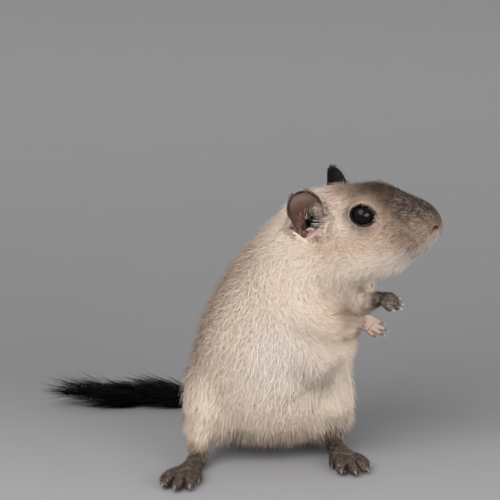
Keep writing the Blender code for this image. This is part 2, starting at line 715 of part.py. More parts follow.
def tail_locks(path):
    """Rows of locks round the tail, each row turned half a step from the one before."""
    chance = random.Random(LOCK_SEED)
    length = path[1][-1]
    spacing = length * TAIL_CORE_END / LOCK_ROWS
    made = []
    for row in range(LOCK_ROWS):
        for place in range(LOCKS_AROUND):
            angle = 2 * math.pi * (place + row % 2 / 2 + chance.uniform(-0.12, 0.12)) / LOCKS_AROUND
            start = spacing * (row + chance.uniform(0.05, 0.45))
            reach = chance.uniform(0.9, 1.04)
            room = length - start + 1.0
            made.append(lock(path, start, angle, min(room, LOCK_LENGTH * chance.uniform(0.85, 1.15)),
                             LOCK_WIDTH * chance.uniform(0.85, 1.1), reach))
    return made


def tail():
    """The tail as a thin core covered in locks, laid on the floor and parted into its lengths."""
    path = tail_path()
    length = path[1][-1]
    steps = 14
    stations = [on_tail(path, length * TAIL_CORE_END * k / steps) for k in range(steps + 1)]
    core = loft("tail_root", [s[0] for s in stations], [s[2] for s in stations],
                [(s[4] * TAIL_CORE, s[4] * TAIL_CORE) for s in stations], around=7, cap_rings=1)
    joined(core, tail_locks(path))
    rest = largest_only(boolean(core, block_ahead((0, 0, 0), (0, 0, -1)), "DIFFERENCE"))
    made = []
    for name, share in reversed(list(TAIL_LENGTHS.items())[1:]):
        place, ahead, _, _, _ = on_tail(path, length * share)
        made.append(taken(rest, name, beyond(place, ahead)))
    return [rest, *made]


def clear_scene():
    for obj in list(bpy.data.objects):
        bpy.data.objects.remove(obj, do_unlink=True)


def finish_node(obj, colour):
    """Gives a node its material and shading, and moves it into the part's frame in metres."""
    x, y = FOOTPRINT_CENTRE
    obj.data.transform(Matrix.Scale(MM, 4) @ Matrix.Translation((-x, -y, 0.0)))
    obj.data.materials.clear()
    obj.data.materials.append(material(colour, 0.12 if colour == "eye" else 0.8))
    obj.data.shade_smooth()
    obj.data.set_sharp_from_angle(angle=math.radians(50))


def main():
    clear_scene()
    body = fused_body()
    nodes = {}

    for which, side in (("right", -1), ("left", 1)):
        arm_axes = Vector(ARM_WAY[which]).to_track_quat("X", "Z").to_matrix()
        arm = taken(body, "arm_" + which, egg(ARM_CENTRE[which], ARM_REACH, arm_axes))
        hand_ahead = Vector(HAND_POINTS[which]).normalized()
        cut = block_ahead(Vector(WRIST[which]) - hand_ahead * 0.1, hand_ahead)
        nodes["arm_" + which] = (largest_only(boolean(arm, cut, "DIFFERENCE")), "cream_fur")
        nodes["hand_" + which] = (hand(which, side), "dark_fur")

        leg = taken(body, "thigh_" + which, egg(LEG_CENTRE[which], LEG_REACH))
        shank = taken(leg, "shank_" + which, beyond((0, 0, KNEE_CUT), (0, 0, -1)))
        below = block_ahead((0, 0, ANKLE_CUT), (0, 0, -1))
        nodes["shank_" + which] = (largest_only(boolean(shank, below, "DIFFERENCE")), "cream_fur")
        nodes["thigh_" + which] = (leg, "cream_fur")
        nodes["foot_" + which] = (foot(which, side), "dark_fur")

        nodes["eye_" + which] = (eye(which, side), "eye")
        nodes["ear_" + which] = (ear(which, side), "dark_fur")
    nose, _, up = HEAD.col
    neck_way = nose * NECK_NOSE + up * NECK_UP
    head = taken(body, "head", beyond(EYE_LINE - neck_way * HEAD_CUT, neck_way))
    neck = taken(body, "neck", beyond(EYE_LINE - neck_way * NECK_CUT, neck_way))
    nodes["head"] = (finish_head(head), "cream_fur")
    nodes["neck"] = (neck, "cream_fur")
    body.name = "torso"
    nodes["torso"] = (body, "cream_fur")
    for length in tail():
        if length.name == "tail_root":
            trimmed_to(length, body)
        nodes[length.name] = (length, "black_fur")
    for obj, colour in nodes.values():
        finish_node(obj, colour)


main()
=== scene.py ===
import math

import bpy
import numpy as np
from mathutils import Euler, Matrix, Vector
from mathutils.bvhtree import BVHTree
from mathutils.kdtree import KDTree


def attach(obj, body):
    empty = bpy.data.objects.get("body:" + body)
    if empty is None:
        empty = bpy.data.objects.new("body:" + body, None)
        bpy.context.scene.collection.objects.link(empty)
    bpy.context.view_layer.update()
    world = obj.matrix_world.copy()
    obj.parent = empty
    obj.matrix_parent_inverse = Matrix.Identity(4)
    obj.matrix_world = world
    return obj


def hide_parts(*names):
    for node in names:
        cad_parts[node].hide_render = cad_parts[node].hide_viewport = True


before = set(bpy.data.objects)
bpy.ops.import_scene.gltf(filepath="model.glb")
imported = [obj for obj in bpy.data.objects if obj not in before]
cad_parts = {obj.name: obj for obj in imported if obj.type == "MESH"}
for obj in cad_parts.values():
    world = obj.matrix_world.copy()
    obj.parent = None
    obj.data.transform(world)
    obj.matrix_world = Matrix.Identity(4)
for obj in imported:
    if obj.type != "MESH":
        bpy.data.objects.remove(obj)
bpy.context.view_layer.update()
print("frame loaded:", len(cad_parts), "nodes")

# Lengths are millimetres, and toMetres turns them into Blender's. Only those of the stage, the camera
# and the lamps are in metres.
toMetres = 0.001
sourceShift = np.array((8.2, -7.6, 0.0))  # from the source's own figures to the frame
headEuler = Euler((math.radians(4), math.radians(5), math.radians(-20)))
headTurn = np.array(headEuler.to_matrix())  # columns: nose, left, up
eyeLine = np.array((28.85, -3.2, 70.4)) + sourceShift
rng = np.random.default_rng(7)


def onHead(ahead, left, up):
    return eyeLine + headTurn @ np.array((ahead, left, up), float)


def headLocal(points):
    return (points - eyeLine) @ headTurn


def fromSource(rows):
    rows = np.array(rows, float)
    rows[:, :3] += sourceShift
    return rows


def unit(vectors):
    return vectors / np.maximum(np.linalg.norm(vectors, axis=-1, keepdims=True), 1e-9)


def smoothstep(low, high, values):
    t = np.clip((values - low) / (high - low), 0, 1)
    return t * t * (3 - 2 * t)


def throughRows(rows, perSpan):
    rows = np.array(rows, float)
    padded = np.vstack([2 * rows[0] - rows[1], rows, 2 * rows[-1] - rows[-2]])
    made = []
    for i in range(1, len(padded) - 2):
        a, b, c, d = padded[i - 1 : i + 3]
        for k in range(perSpan):
            t = k / perSpan
            made.append(0.5 * (2 * b + (c - a) * t + (2 * a - 5 * b + 4 * c - d) * t**2
                               + (3 * b - a - 3 * c + d) * t**3))
    made.append(rows[-1])
    return np.array(made)


class Wire:
    # a socket that plain Python expressions can be written with
    def __init__(self, finish, socket):
        self.finish, self.socket = finish, socket

    def math(self, operation, *others):
        return self.finish.node("ShaderNodeMath", {"operation": operation}, dict(enumerate([self, *others])))

    def __add__(self, other):
        return self.math("ADD", other)

    __radd__ = __add__

    def __mul__(self, other):
        return self.math("MULTIPLY", other)

    def __sub__(self, other):
        return self.math("SUBTRACT", other)

    def __rsub__(self, other):
        return self.finish.node("ShaderNodeMath", {"operation": "SUBTRACT"}, {0: other, 1: self})

    def least(self, other):
        return self.math("MINIMUM", other)

    def most(self, other):
        return self.math("MAXIMUM", other)

    def step(self, low, high):
        # 0 at low, 1 at high, smooth between
        return self.finish.node("ShaderNodeMapRange", {"interpolation_type": "SMOOTHSTEP"},
                                {"Value": self, "From Min": low, "From Max": high})


class Finish:
    # one material: its Principled shader and the nodes that feed it
    def __init__(self, name, **sockets):
        self.material = bpy.data.materials.new(name)
        self.material.use_nodes = True
        self.tree = self.material.node_tree
        self.shader = self.tree.nodes["Principled BSDF"]
        self.set(**sockets)

    def feed(self, socket, value):
        if isinstance(value, Wire):
            self.tree.links.new(value.socket, socket)
        elif hasattr(socket.default_value, "__len__") and not hasattr(value, "__len__"):
            socket.default_value = [value] * len(socket.default_value)
        elif hasattr(value, "__len__") and len(value) == 3 and len(socket.default_value) == 4:
            socket.default_value = (*value, 1.0)
        else:
            socket.default_value = value

    def node(self, kind, settings=None, inputs=None, out=0):
        made = self.tree.nodes.new(kind)
        for key, value in (settings or {}).items():
            setattr(made, key, value)
        for key, value in (inputs or {}).items():
            self.feed(made.inputs[key], value)
        return Wire(self, made.outputs[out])

    def set(self, **sockets):
        for key, value in sockets.items():
            self.feed(self.shader.inputs[key.replace("_", " ")], value)
        return self.material

    def mix(self, a, b, share):
        return self.node("ShaderNodeMix", {"data_type": "RGBA"}, {0: share, 6: a, 7: b}, out=2)

    def tint(self, colour, amount):
        # brightens or darkens a colour by a number
        grey = self.node("ShaderNodeCombineXYZ", None, {0: amount, 1: amount, 2: amount})
        return self.node("ShaderNodeMix", {"data_type": "RGBA", "blend_type": "MULTIPLY"},
                         {0: 1.0, 6: colour, 7: grey}, out=2)

    def parts(self, vector):
        made = self.node("ShaderNodeSeparateXYZ", None, {0: vector})
        return [Wire(self, socket) for socket in made.socket.node.outputs]

    def noise(self, vector, scale, detail, out=0):
        return self.node("ShaderNodeTexNoise", None,
                         {"Vector": vector, "Scale": scale, "Detail": detail}, out)

    def place(self):
        return self.node("ShaderNodeTexCoord", out="Object")

    def attribute(self, name, out="Fac"):
        return self.node("ShaderNodeAttribute", {"attribute_name": name}, None, out=out)

    def bump(self, height, strength, distance):
        return self.node("ShaderNodeBump", None,
                         {"Height": height, "Strength": strength, "Distance": distance})


def shade(red, green, blue):
    # a colour as it is seen on a screen, turned into the shader's own numbers
    return tuple(((c / 255 + 0.055) / 1.055) ** 2.4 if c > 10 else c / 255 / 12.92
                 for c in (red, green, blue))


coatColours = {
    "cream": shade(225, 207, 188),
    "pale": shade(232, 220, 210),
    "fawn": shade(186, 160, 139),
    "back": shade(116, 92, 75),
    "mask": shade(42, 31, 26),
    "muzzle": shade(120, 97, 81),
    "rose": shade(200, 166, 154),
    "sock": shade(38, 28, 24),
    "black": shade(6, 5, 6),
    "earBackAndShade": shade(13, 8, 7),
    "earSkin": shade(113, 92, 84),
    "earLow": shade(80, 58, 49),
    "bareSkin": shade(166, 141, 130),
}


def ball(finish, vector, centre, radii, soft):
    # 1 inside an egg, falling to 0 outside it
    local = finish.node("ShaderNodeMapping", {"vector_type": "TEXTURE"},
                        {"Vector": vector, "Location": centre, "Scale": radii})
    length = finish.node("ShaderNodeVectorMath", {"operation": "LENGTH"}, {0: local}, out=1)
    return length.step(1 + soft, 1 - soft)


def pair(finish, vector, centre, radii, soft):
    # the same egg on both sides of the head
    ahead, left, up = centre
    other = ball(finish, vector, (ahead, -left, up), radii, soft)
    return ball(finish, vector, centre, radii, soft).most(other)


# Soft eggs of colour: place, radii, softness. Those of the body lie in the frame, and those of the head
# along nose, left and up.
bodyPatches = {
    "flank": ((13, -22, 33), (10, 14, 10), 0.6),
    "forearm": ((26, -20, 43), (7, 9, 10), 0.6),
    # brown above the near wrist: partly brown fur, partly painted shade in the gap between forearm and chest
    "wrist": ((31, -20.5, 43.2), (4.6, 6.0, 4.2), 0.8),
    "nearHand": ((38.5, -21.5, 39.5), (5.5, 6.0, 5.0), 0.4),
    "farHand": ((43.8, -10.5, 44.2), (7.0, 6.0, 6.0), 0.2),
}
headPatches = {
    "cheek": ((-6.5, 0, -2.5), (6, 13, 4.5), 0.5),
    "behindEye": ((-1.5, 6.8, -0.8), (5.6, 3.6, 4.4), 0.5),
    "beforeEye": ((5.5, 7, -1), (4, 4, 3), 0.5),
    "temple": ((-8, 0, -1.5), (3.5, 14, 4), 0.5),
    "crown": ((-1.5, 0, 8.4), (15, 11, 5.0), 0.5),
    "muzzle": ((15, 0, -1.5), (10, 10.5, 7.5), 0.4),
    "blaze": ((12.5, 0, 6.8), (16.0, 9.0, 8.0), 0.42),
    "chin": ((13, 0, -12.0), (11, 9, 6.0), 0.4),
    "lip": ((20, 0, -8.0), (5.5, 8, 4.6), 0.5),
    "earFoot": ((-8.5, 10.5, 3.5), (2.6, 2.6, 5.5), 0.4),
}
# the way that the belly faces, by height, and where the body's middle line stands and begins to bend
bellyWay = {"from": 15, "degrees": 67, "perHeight": -0.9, "least": 0.3, "most": 1.17,
            "across": 9.7, "deep": -3.4, "hip": 20, "waist": 30}
raggedEdges = {"scale": 0.35, "detail": 3.0, "reach": 3.0}  # how the edges of the markings wander


def coatColour(finish, place, marks):
    # the same markings for skin and coat, by place on the body and by marks: dark (dark fur of the ear backs
    # and lid rims, and painted shade in the ear canals, between digits and in the nostrils), ear lining, bare
    # skin
    body = finish.node("ShaderNodeVectorMath", {"operation": "SCALE"}, {0: place, "Scale": 1000.0})
    r = raggedEdges
    ragged = finish.node("ShaderNodeVectorMath", {"operation": "SUBTRACT"},
                         {0: finish.noise(body, r["scale"], r["detail"], "Color"), 1: (0.5, 0.5, 0.5)})
    body = finish.node("ShaderNodeVectorMath", {"operation": "MULTIPLY_ADD"},
                       {0: ragged, 1: (r["reach"],) * 3, 2: body})
    head = finish.node("ShaderNodeMapping", {"vector_type": "TEXTURE"},
                       {"Vector": body, "Location": tuple(eyeLine), "Rotation": tuple(headEuler)})
    ahead, _, up = finish.parts(head)
    x, y, z = finish.parts(body)

    # how far a point faces the belly: its direction swings from the legs up to the throat
    b = bellyWay
    turn = (z - b["from"]) * b["perHeight"] + b["degrees"]
    turn = (turn * (math.pi / 180)).least(b["most"]).most(b["least"])
    aboveHip = z - b["hip"]
    axisX = b["across"] + (aboveHip * 0.004).most(0) * aboveHip.most(0) * 0.9
    axisY = b["deep"] - (z - b["waist"]).most(0) * 0.19
    front = (x - axisX) * turn.math("COSINE") - (y - axisY) * turn.math("SINE")

    spine = front.step(1, -12) * z.step(4, 26)
    onFace = ahead.step(-16, -6) * up.step(-14, -7)
    tail = y.step(16, 20) * z.step(17, 13)
    stipple = finish.noise(body, 1.7, 1.0).step(0.42, 0.62)
    on = {name: ball(finish, body, *row) for name, row in bodyPatches.items()}
    for name, row in headPatches.items():
        on[name] = (pair if row[0][1] else ball)(finish, head, *row)
    nearSock = z.step(10.0, 4.4) * y.step(-8, -14)
    farSock = z.step(14.0, 9.0) * x.step(22, 26)
    socks = nearSock.most(farSock).most(on["farHand"])
    layers = [
        ("back", spine * 0.78),
        ("pale", front.step(4, 14) * z.step(70, 58) * z.step(10, 24) * 0.2),
        ("pale", on["flank"] * 0.6),
        ("fawn", on["forearm"] * 0.5),
        ("fawn", z.step(14, 6) * 0.45),
        ("fawn", onFace * 0.72),
        ("pale", on["cheek"] * 0.55),
        ("cream", on["behindEye"] * 0.6),
        ("rose", on["beforeEye"] * 0.35),
        ("rose", on["temple"] * 0.3),
        ("back", on["crown"] * 0.75),
        ("muzzle", on["muzzle"] * (stipple * 0.3 + 0.68)),
        ("mask", on["blaze"] * (stipple * 0.1 + 0.9)),
        ("pale", on["chin"].most(on["lip"]) * 0.8),
        ("mask", on["earFoot"] * 0.6),
        # partly brown fur, partly painted shade between forearm and chest
        ("back", on["wrist"] * 0.8),
        ("muzzle", on["nearHand"] * 0.75),
        ("sock", socks * 0.93),
    ]
    c = coatColours
    colour = c["cream"]
    for name, share in layers:
        colour = finish.mix(colour, c[name], share)
    colour = finish.mix(colour, finish.mix(c["sock"], c["black"], y.step(12, 27)), tail)
    dark, lining, bare = finish.parts(marks)
    colour = finish.mix(colour, c["bareSkin"], bare)
    colour = finish.mix(colour, finish.mix(c["earSkin"], c["earLow"], up.step(3.8, -1.0)), lining)
    # dark marks: the ear backs' dark fur and the lid rims, and painted shade in the ear canals, between
    # digits and in the nostrils
    colour = finish.mix(colour, c["earBackAndShade"], dark)
    on.update({"face": onFace, "spine": spine, "socks": socks,
               "coloured": 1 - tail.most(dark.step(0.2, 0.6))})
    return colour, on


print("markings ready")


# The body as lines of flow, from the nose back and down each limb. Each row: place, reach of its
# influence, depth of the coat, length and width of a tuft, tufts on a square millimetre.
headFlow = [
    (21, 0, -1, 6, 0.14, 0.9, 0.14, 28), (18, 0, -2, 8, 0.34, 1.3, 0.17, 25),
    (14, 0, -3.5, 10, 0.60, 1.9, 0.20, 20), (9, 0, -4.5, 12, 0.75, 2.3, 0.22, 17),
    (3, 0, -6, 14, 0.90, 2.4, 0.22, 16), (-4, 0, -8, 15, 1.10, 2.6, 0.21, 15),
    (-11, 0, -10, 15, 1.4, 2.9, 0.20, 15),
]
bodyFlow = [
    (20.4, -2.2, 61.5, 13, 1.6, 2.9, 0.19, 15), (14.4, -0.8, 56.5, 14, 1.8, 2.9, 0.19, 15),
    (9.8, 0.8, 49, 16, 1.9, 3.0, 0.19, 15), (6.2, 2.8, 40, 18, 2.0, 3.1, 0.19, 14),
    (3.6, 4.2, 30, 19, 2.0, 3.3, 0.19, 13), (2.2, 4.8, 21, 18, 2.1, 3.9, 0.19, 12),
    (1.8, 4.6, 14, 16, 1.8, 4.4, 0.20, 11), (1.5, 4.2, 8, 14, 1.2, 3.4, 0.18, 12),
    (1.5, 4.2, 2, 8, 1.0, 2.4, 0.16, 13),
]
legFlow = {
    "right": [(-8, 6, 30, 11, 2.1, 5.2, 0.21, 10), (-12.2, 0, 20, 12, 1.9, 5.2, 0.21, 11),
              (-14.8, -4, 13.6, 10, 1.4, 5.0, 0.19, 13), (-16.3, -6.4, 9, 8, 0.9, 4.6, 0.18, 16),
              (-17, -8.6, 5.6, 6, 0.55, 3.2, 0.17, 19), (-17.4, -10.5, 3.2, 5, 0.4, 2.2, 0.16, 20),
              (-19, -18, 2.2, 5.5, 0.40, 2.2, 0.13, 22), (-21, -25, 1.8, 6, 0.32, 1.9, 0.12, 24),
              (-23, -33, 1.4, 6, 0.2, 1.3, 0.13, 22)],
    "left": [(10.5, 8.5, 30, 11, 2.1, 5.2, 0.21, 10), (14.8, 3, 20.5, 12, 1.9, 5.2, 0.21, 11),
             (18.2, 0.8, 14.4, 10, 1.3, 4.8, 0.19, 13), (19.3, 2.6, 9.2, 8, 0.8, 4.0, 0.18, 16),
             (19.8, 3.6, 5.6, 6, 0.5, 2.6, 0.17, 19), (20, 2.4, 3.2, 5, 0.4, 2.0, 0.16, 20),
             (21.8, -5, 2.2, 5.5, 0.40, 2.2, 0.13, 22), (23.6, -12, 1.8, 6, 0.32, 1.9, 0.12, 24),
             (25.6, -21, 1.4, 6, 0.2, 1.3, 0.13, 22)],
}
armFlow = {
    "right": [(5, -6.4, 52, 9, 1.9, 4.2, 0.2, 12), (10.5, -10.6, 45, 9, 1.8, 4.0, 0.2, 12),
              (15.4, -12.9, 41, 8, 1.4, 3.6, 0.18, 14), (20.6, -13.4, 40.2, 7, 0.95, 3.0, 0.17, 17),
              (24.6, -13.2, 40.6, 5.5, 0.5, 1.9, 0.12, 20), (28, -13.6, 40.6, 4.5, 0.12, 1.0, 0.1, 12),
              (34, -14.4, 39, 4, 0.05, 0.7, 0.08, 7)],
    "left": [(19, 9, 52, 9, 2.0, 5.4, 0.2, 10), (24, 6, 45.5, 8.5, 1.7, 4.4, 0.18, 12),
             (26.6, 2.8, 43.4, 7, 1.2, 3.4, 0.16, 14), (28.6, -0.4, 43.8, 6, 0.7, 2.4, 0.14, 18),
             (31.6, -3.2, 45, 5, 0.3, 1.4, 0.12, 22), (36, -5.2, 45.4, 5, 0.15, 0.9, 0.1, 22),
             (41, -7.6, 45.8, 5, 0.1, 0.7, 0.1, 20)],
}
tailLine = [
    (-4.2, 16, 11.4), (-5.4, 24, 8.0), (-7, 32, 5.0), (-10.6, 39.4, 3.6), (-17.6, 44.4, 3.5),
    (-28, 46.4, 3.5), (-40, 46.6, 3.6), (-51, 46.3, 3.9), (-59.5, 46, 3.8), (-63.5, 45.9, 3.3),
]
tailRadii = [4.4, 3.7, 3.5, 3.4, 3.4, 3.5, 3.7, 4.1, 3.6, 2.2]
tailCore = 0.5  # of the hair's radius
tailHair = {"reach": 5.5, "depth": (1.5, 2.2), "length": (6.5, 10.5), "width": 0.19, "density": 15, "bare": 2,
            "flare": 0.26, "lean": 0.13, "tipFrom": (-44.0, -30.0)}


def flowPoints():
    # guide points: place, unit direction, reach, depth, length, width, density
    chains = []
    head = np.array(headFlow, float)
    head[:, :3] = [onHead(*row[:3]) for row in headFlow]
    chains.append(np.vstack([head, fromSource(bodyFlow)]))
    chains += [fromSource(rows) for rows in (*legFlow.values(), *armFlow.values())]
    h = tailHair
    count = len(tailLine)
    measuresOfTail = [np.full(count, h["reach"]), np.linspace(*h["depth"], count),
                      np.linspace(*h["length"], count), np.full(count, h["width"]),
                      np.full(count, h["density"])]
    chains.append(fromSource(np.column_stack([tailLine, *measuresOfTail]))[1:])
    made = []
    for rows in chains:
        dense = throughRows(rows, 3)
        ahead = unit(np.gradient(dense[:, :3], axis=0))
        made.append(np.hstack([dense[:, :3], ahead, dense[:, 3:]]))
    return np.vstack(made)


guides = flowPoints()


def coatFields(points):
    # direction of the coat and its four measures at each point
    out = np.zeros((len(points), 7))
    for start in range(0, len(points), 20000):
        part = points[start : start + 20000]
        away = np.linalg.norm(part[:, None] - guides[None, :, :3], axis=2) / guides[:, 6]
        weight = 1 / (0.004 + away**8)
        weight /= weight.sum(axis=1, keepdims=True)
        out[start : start + 20000, :3] = weight @ guides[:, 3:6]
        out[start : start + 20000, 3:] = weight @ guides[:, 7:]
    return out


def withNormals(points, triangles):
    faceNormals = np.cross(points[triangles[:, 1]] - points[triangles[:, 0]],
                           points[triangles[:, 2]] - points[triangles[:, 0]])
    normals = np.zeros_like(points)
    for corner in range(3):
        for axis in range(3):
            normals[:, axis] += np.bincount(triangles[:, corner], faceNormals[:, axis], len(points))
    return unit(normals)


def readArray(collection, key, width, kind=np.float32):
    # one measure of a mesh's points, triangles or corners
    values = np.empty(len(collection) * width, kind)
    collection.foreach_get(key, values)
    return values.reshape(-1, width)


def setMeasure(mesh, key, values, vector=False):
    # a number or a vector for each point of a mesh
    made = mesh.attributes.new(key, "FLOAT_VECTOR" if vector else "FLOAT", "POINT")
    made.data.foreach_set("vector" if vector else "value", np.asarray(values, np.float32).ravel())


def meshFrom(name, points, triangles):
    # points in millimetres, all faces triangles
    mesh = bpy.data.meshes.new(name)
    mesh.vertices.add(len(points))
    mesh.vertices.foreach_set("co", (np.asarray(points) * toMetres).astype(np.float32).ravel())
    mesh.loops.add(len(triangles) * 3)
    mesh.loops.foreach_set("vertex_index", np.asarray(triangles, np.int32).ravel())
    mesh.polygons.add(len(triangles))
    mesh.polygons.foreach_set("loop_start", np.arange(0, len(triangles) * 3, 3, dtype=np.int32))
    mesh.update(calc_edges=True)
    mesh.shade_smooth()
    obj = bpy.data.objects.new(name, mesh)
    bpy.context.scene.collection.objects.link(obj)
    return obj


def meshArrays(obj):
    # points in millimetres and triangles of an object as its modifiers leave it
    evaluated = obj.evaluated_get(bpy.context.evaluated_depsgraph_get())
    mesh = evaluated.to_mesh()
    mesh.calc_loop_triangles()
    points = readArray(mesh.vertices, "co", 3).astype(float) / toMetres
    triangles = readArray(mesh.loop_triangles, "vertices", 3, np.int32)
    evaluated.to_mesh_clear()
    return points, triangles


def welded(points, triangles):
    _, first, index = np.unique(np.round(points, 4), axis=0, return_index=True, return_inverse=True)
    triangles = index.reshape(-1)[triangles]
    keep = (triangles[:, 0] != triangles[:, 1]) & (triangles[:, 1] != triangles[:, 2]) & (
        triangles[:, 0] != triangles[:, 2])
    return points[first], triangles[keep]


def together(pieces):
    points, triangles, start = [], [], 0
    for p, t in pieces:
        points.append(p)
        triangles.append(t + start)
        start += len(p)
    return np.vstack(points), np.vstack(triangles)


def relaxed(points, edges, rounds, strength):
    # moves each point towards the middle of its neighbours, by its own strength
    a, b = edges.T
    count = np.bincount(edges.ravel(), minlength=len(points))[:, None]
    strength = np.broadcast_to(np.reshape(strength, (-1, 1)), (len(points), 1))
    for _ in range(rounds):
        total = np.stack([np.bincount(a, column[b], len(points)) + np.bincount(b, column[a], len(points))
                          for column in points.T], axis=1)
        points = points + (total / count - points) * strength
    return points


def treeOf(points):
    tree = KDTree(len(points))
    for i, place in enumerate(points):
        tree.insert(place, i)
    tree.balance()
    return tree


def fromLine(points, start, end):
    # distance to a straight stretch
    way = end - start
    share = np.clip((points - start) @ way / (way @ way), 0, 1)
    return np.linalg.norm(points - start - np.outer(share, way), axis=1)


def tailAway(points):
    # distance to the tail's middle line
    line = fromSource(tailLine)
    return np.min([fromLine(points, start, end) for start, end in zip(line, line[1:])], axis=0)


def tailRoots(points):
    return (points[:, 1] > 16 + sourceShift[1]) & (tailAway(points) < 4.0)


def edgesOf(triangles):
    pairs = np.sort(np.vstack([triangles[:, [0, 1]], triangles[:, [1, 2]], triangles[:, [2, 0]]]), axis=1)
    return np.unique(pairs, axis=0)


def closedFaces(rings, around):
    # triangles between the rings of a body, and fans from its end rings to the two points after them
    triangles = []
    for i in range(rings - 1):
        for k in range(around):
            a, b = i * around + k, i * around + (k + 1) % around
            triangles += [(a, b, b + around), (a, b + around, a + around)]
    low, high, last = rings * around, rings * around + 1, (rings - 1) * around
    for k in range(around):
        triangles += [((k + 1) % around, k, low), (last + k, last + (k + 1) % around, high)]
    return np.array(triangles)


def loft(centres, sides, halves, around, cap, capRings):
    # a closed body through oval rings, as points and triangles
    centres, sides = np.array(centres, float), np.array(sides, float)
    tangents = unit(np.gradient(centres, axis=0))
    sides = unit(sides - tangents * (sides * tangents).sum(axis=1, keepdims=True))
    fronts = np.cross(tangents, sides)
    rings = [(centres[i], sides[i], fronts[i], *halves[i]) for i in range(len(centres))]
    tips = []
    for end, outward in ((0, -1), (-1, 1)):
        centre, side, front, a, b = rings[end if end == 0 else len(centres) - 1]
        reach = cap[end] * (a + b) / 2
        extra = []
        for k in range(1, capRings + 1):
            turn = math.pi / 2 * k / (capRings + 1)
            extra.append((centre + tangents[end] * outward * reach * math.sin(turn), side, front,
                          a * math.cos(turn), b * math.cos(turn)))
        tips.append((extra, centre + tangents[end] * outward * reach))
    rings = tips[0][0][::-1] + rings + tips[1][0]
    turn = np.arange(around) * 2 * math.pi / around
    points = [c + np.outer(np.cos(turn) * a, s) + np.outer(np.sin(turn) * b, f) for c, s, f, a, b in rings]
    return np.vstack([*points, tips[0][1], tips[1][1]]), closedFaces(len(rings), around)


def tube(rows, perSpan=4, side=(0.0, 1.0, 0.3)):
    path = throughRows(rows, perSpan)
    return loft(path[:, :3], [side] * len(path), [(r, r) for r in path[:, 3]], 16, (0.8, 0.8), 3)


def egg(centre, radii, turn=None, around=20, rows=12):
    # an ellipsoid with its axes turned by a 3 x 3 matrix
    turn = np.eye(3) if turn is None else turn
    steps = np.linspace(-1, 1, rows + 2)[1:-1]
    heights = np.sin(steps * math.pi / 2)
    widths = np.sqrt(1 - heights**2)
    angle = np.arange(around) * 2 * math.pi / around
    rings = [np.stack([np.cos(angle) * w, np.sin(angle) * w, np.full(around, h)], axis=1)
             for h, w in zip(heights, widths)]
    points = np.vstack([*rings, (0, 0, -1), (0, 0, 1)]) * radii
    return np.asarray(centre) + points @ turn.T, closedFaces(rows, around)


eyeSettings = {
    "forward": 0.4, "spacing": 6.6, "radius": 3.75, "lidWidth": 3.44, "lidHeight": 3.02, "lidThick": 0.18,
    "pressedTo": 2.9,  # how far from the eye's middle the flesh behind it begins
}


def eyeCentre(side):
    return onHead(eyeSettings["forward"], side * eyeSettings["spacing"], 0)


def eyeAxes(side):
    # columns: out of the eye, towards its front corner, up its opening
    out = headTurn @ unit(np.array((0.22, side * 0.94, 0.26)))
    corner = headTurn @ np.array((0.97, 0, -0.02))
    corner = unit(corner - out * corner.dot(out))
    return out, corner, np.cross(out, corner) * -side


def eyeSpread(points, side):
    # 1 on the edge of the eye's opening, more outside it, and how far a point stands to the front
    out, corner, up = eyeAxes(side)
    local = points - eyeCentre(side)
    wide, high = local @ corner, local @ up
    wide = wide / np.where(wide > 0, 1.1, 1.0)
    return np.hypot(wide / eyeSettings["lidWidth"], high / eyeSettings["lidHeight"]), local @ out


def lidRing(side):
    # the lids' thick rim, an almond drawn out at its front corner
    s = eyeSettings
    out, corner, up = eyeAxes(side)
    centre = eyeCentre(side)
    steps, around = 48, 8
    path = []
    for k in range(steps):
        turn = 2 * math.pi * k / steps
        wide = s["lidWidth"] * math.cos(turn)
        if wide > 0:
            wide *= 1 + 0.2 * math.cos(turn) ** 6
        high = s["lidHeight"] * math.sin(turn) * (1 - 0.12 * max(0, math.cos(turn)))
        flat = min(0.98, math.hypot(wide, high) / (s["radius"] + 0.35))
        path.append(centre + corner * wide + up * high + out * (s["radius"] + 0.1) * math.sqrt(1 - flat**2))
    path = np.array(path)
    tangents = unit(np.roll(path, -1, axis=0) - np.roll(path, 1, axis=0))
    across = unit(path - centre)
    other = np.cross(tangents, across)
    angle = np.arange(around) * 2 * math.pi / around
    round1, round2 = np.cos(angle)[None, :, None], np.sin(angle)[None, :, None] * 1.5
    points = path[:, None] + s["lidThick"] * (across[:, None] * round1 + other[:, None] * round2)
    triangles = []
    for k in range(steps):
        for j in range(around):
            a, b = k * around + j, k * around + (j + 1) % around
            c, d = (k + 1) % steps * around + j, (k + 1) % steps * around + (j + 1) % around
            triangles += [(a, b, d), (a, d, c)]
    return points.reshape(-1, 3), np.array(triangles)


earSettings = {
    "root": (-10.6, 12.0, -7.6), "length": 14.2, "thick": 0.7, "curl": (145, 58),
    "rise": {"right": (-0.36, -0.1, 0.93), "left": (-0.45, 0.1, 0.89)},
    "opening": {"right": (0.41, -0.91, 0.1), "left": (0.56, 0.82, 0.1)},
    "widths": [(0, 2.4), (0.2, 3.7), (0.4, 4.3), (0.62, 4.8), (0.82, 4.2), (0.94, 2.8), (1, 1.3)],
    "slim": {"right": 1.0, "left": 0.82}, "shift": {"right": 0.0, "left": 1.7},
    "lobes": [((-12.5, 12.3, -6.5), (2.0, 1.4, 2.0)), ((-9.3, 11.9, -5.3), (1.8, 1.2, 1.3))],
    "pad": ((-16.0, 9.3, -6.8), (3.0, 2.4, 3.6)),  # the flesh behind the foot of the cup
    "canal": {"place": (-12.8, 11.6, -3.4), "wide": 1.9, "high": 2.9, "deep": 3.6},
}


def earFrame(side):
    s = earSettings
    which = "left" if side > 0 else "right"
    rise = unit(headTurn @ np.array(s["rise"][which]))
    opening = headTurn @ np.array(s["opening"][which])
    opening = unit(opening - rise * opening.dot(rise))
    root = onHead(s["root"][0] + s["shift"][which], side * s["root"][1], s["root"][2])
    return root, rise, opening, np.cross(rise, opening)


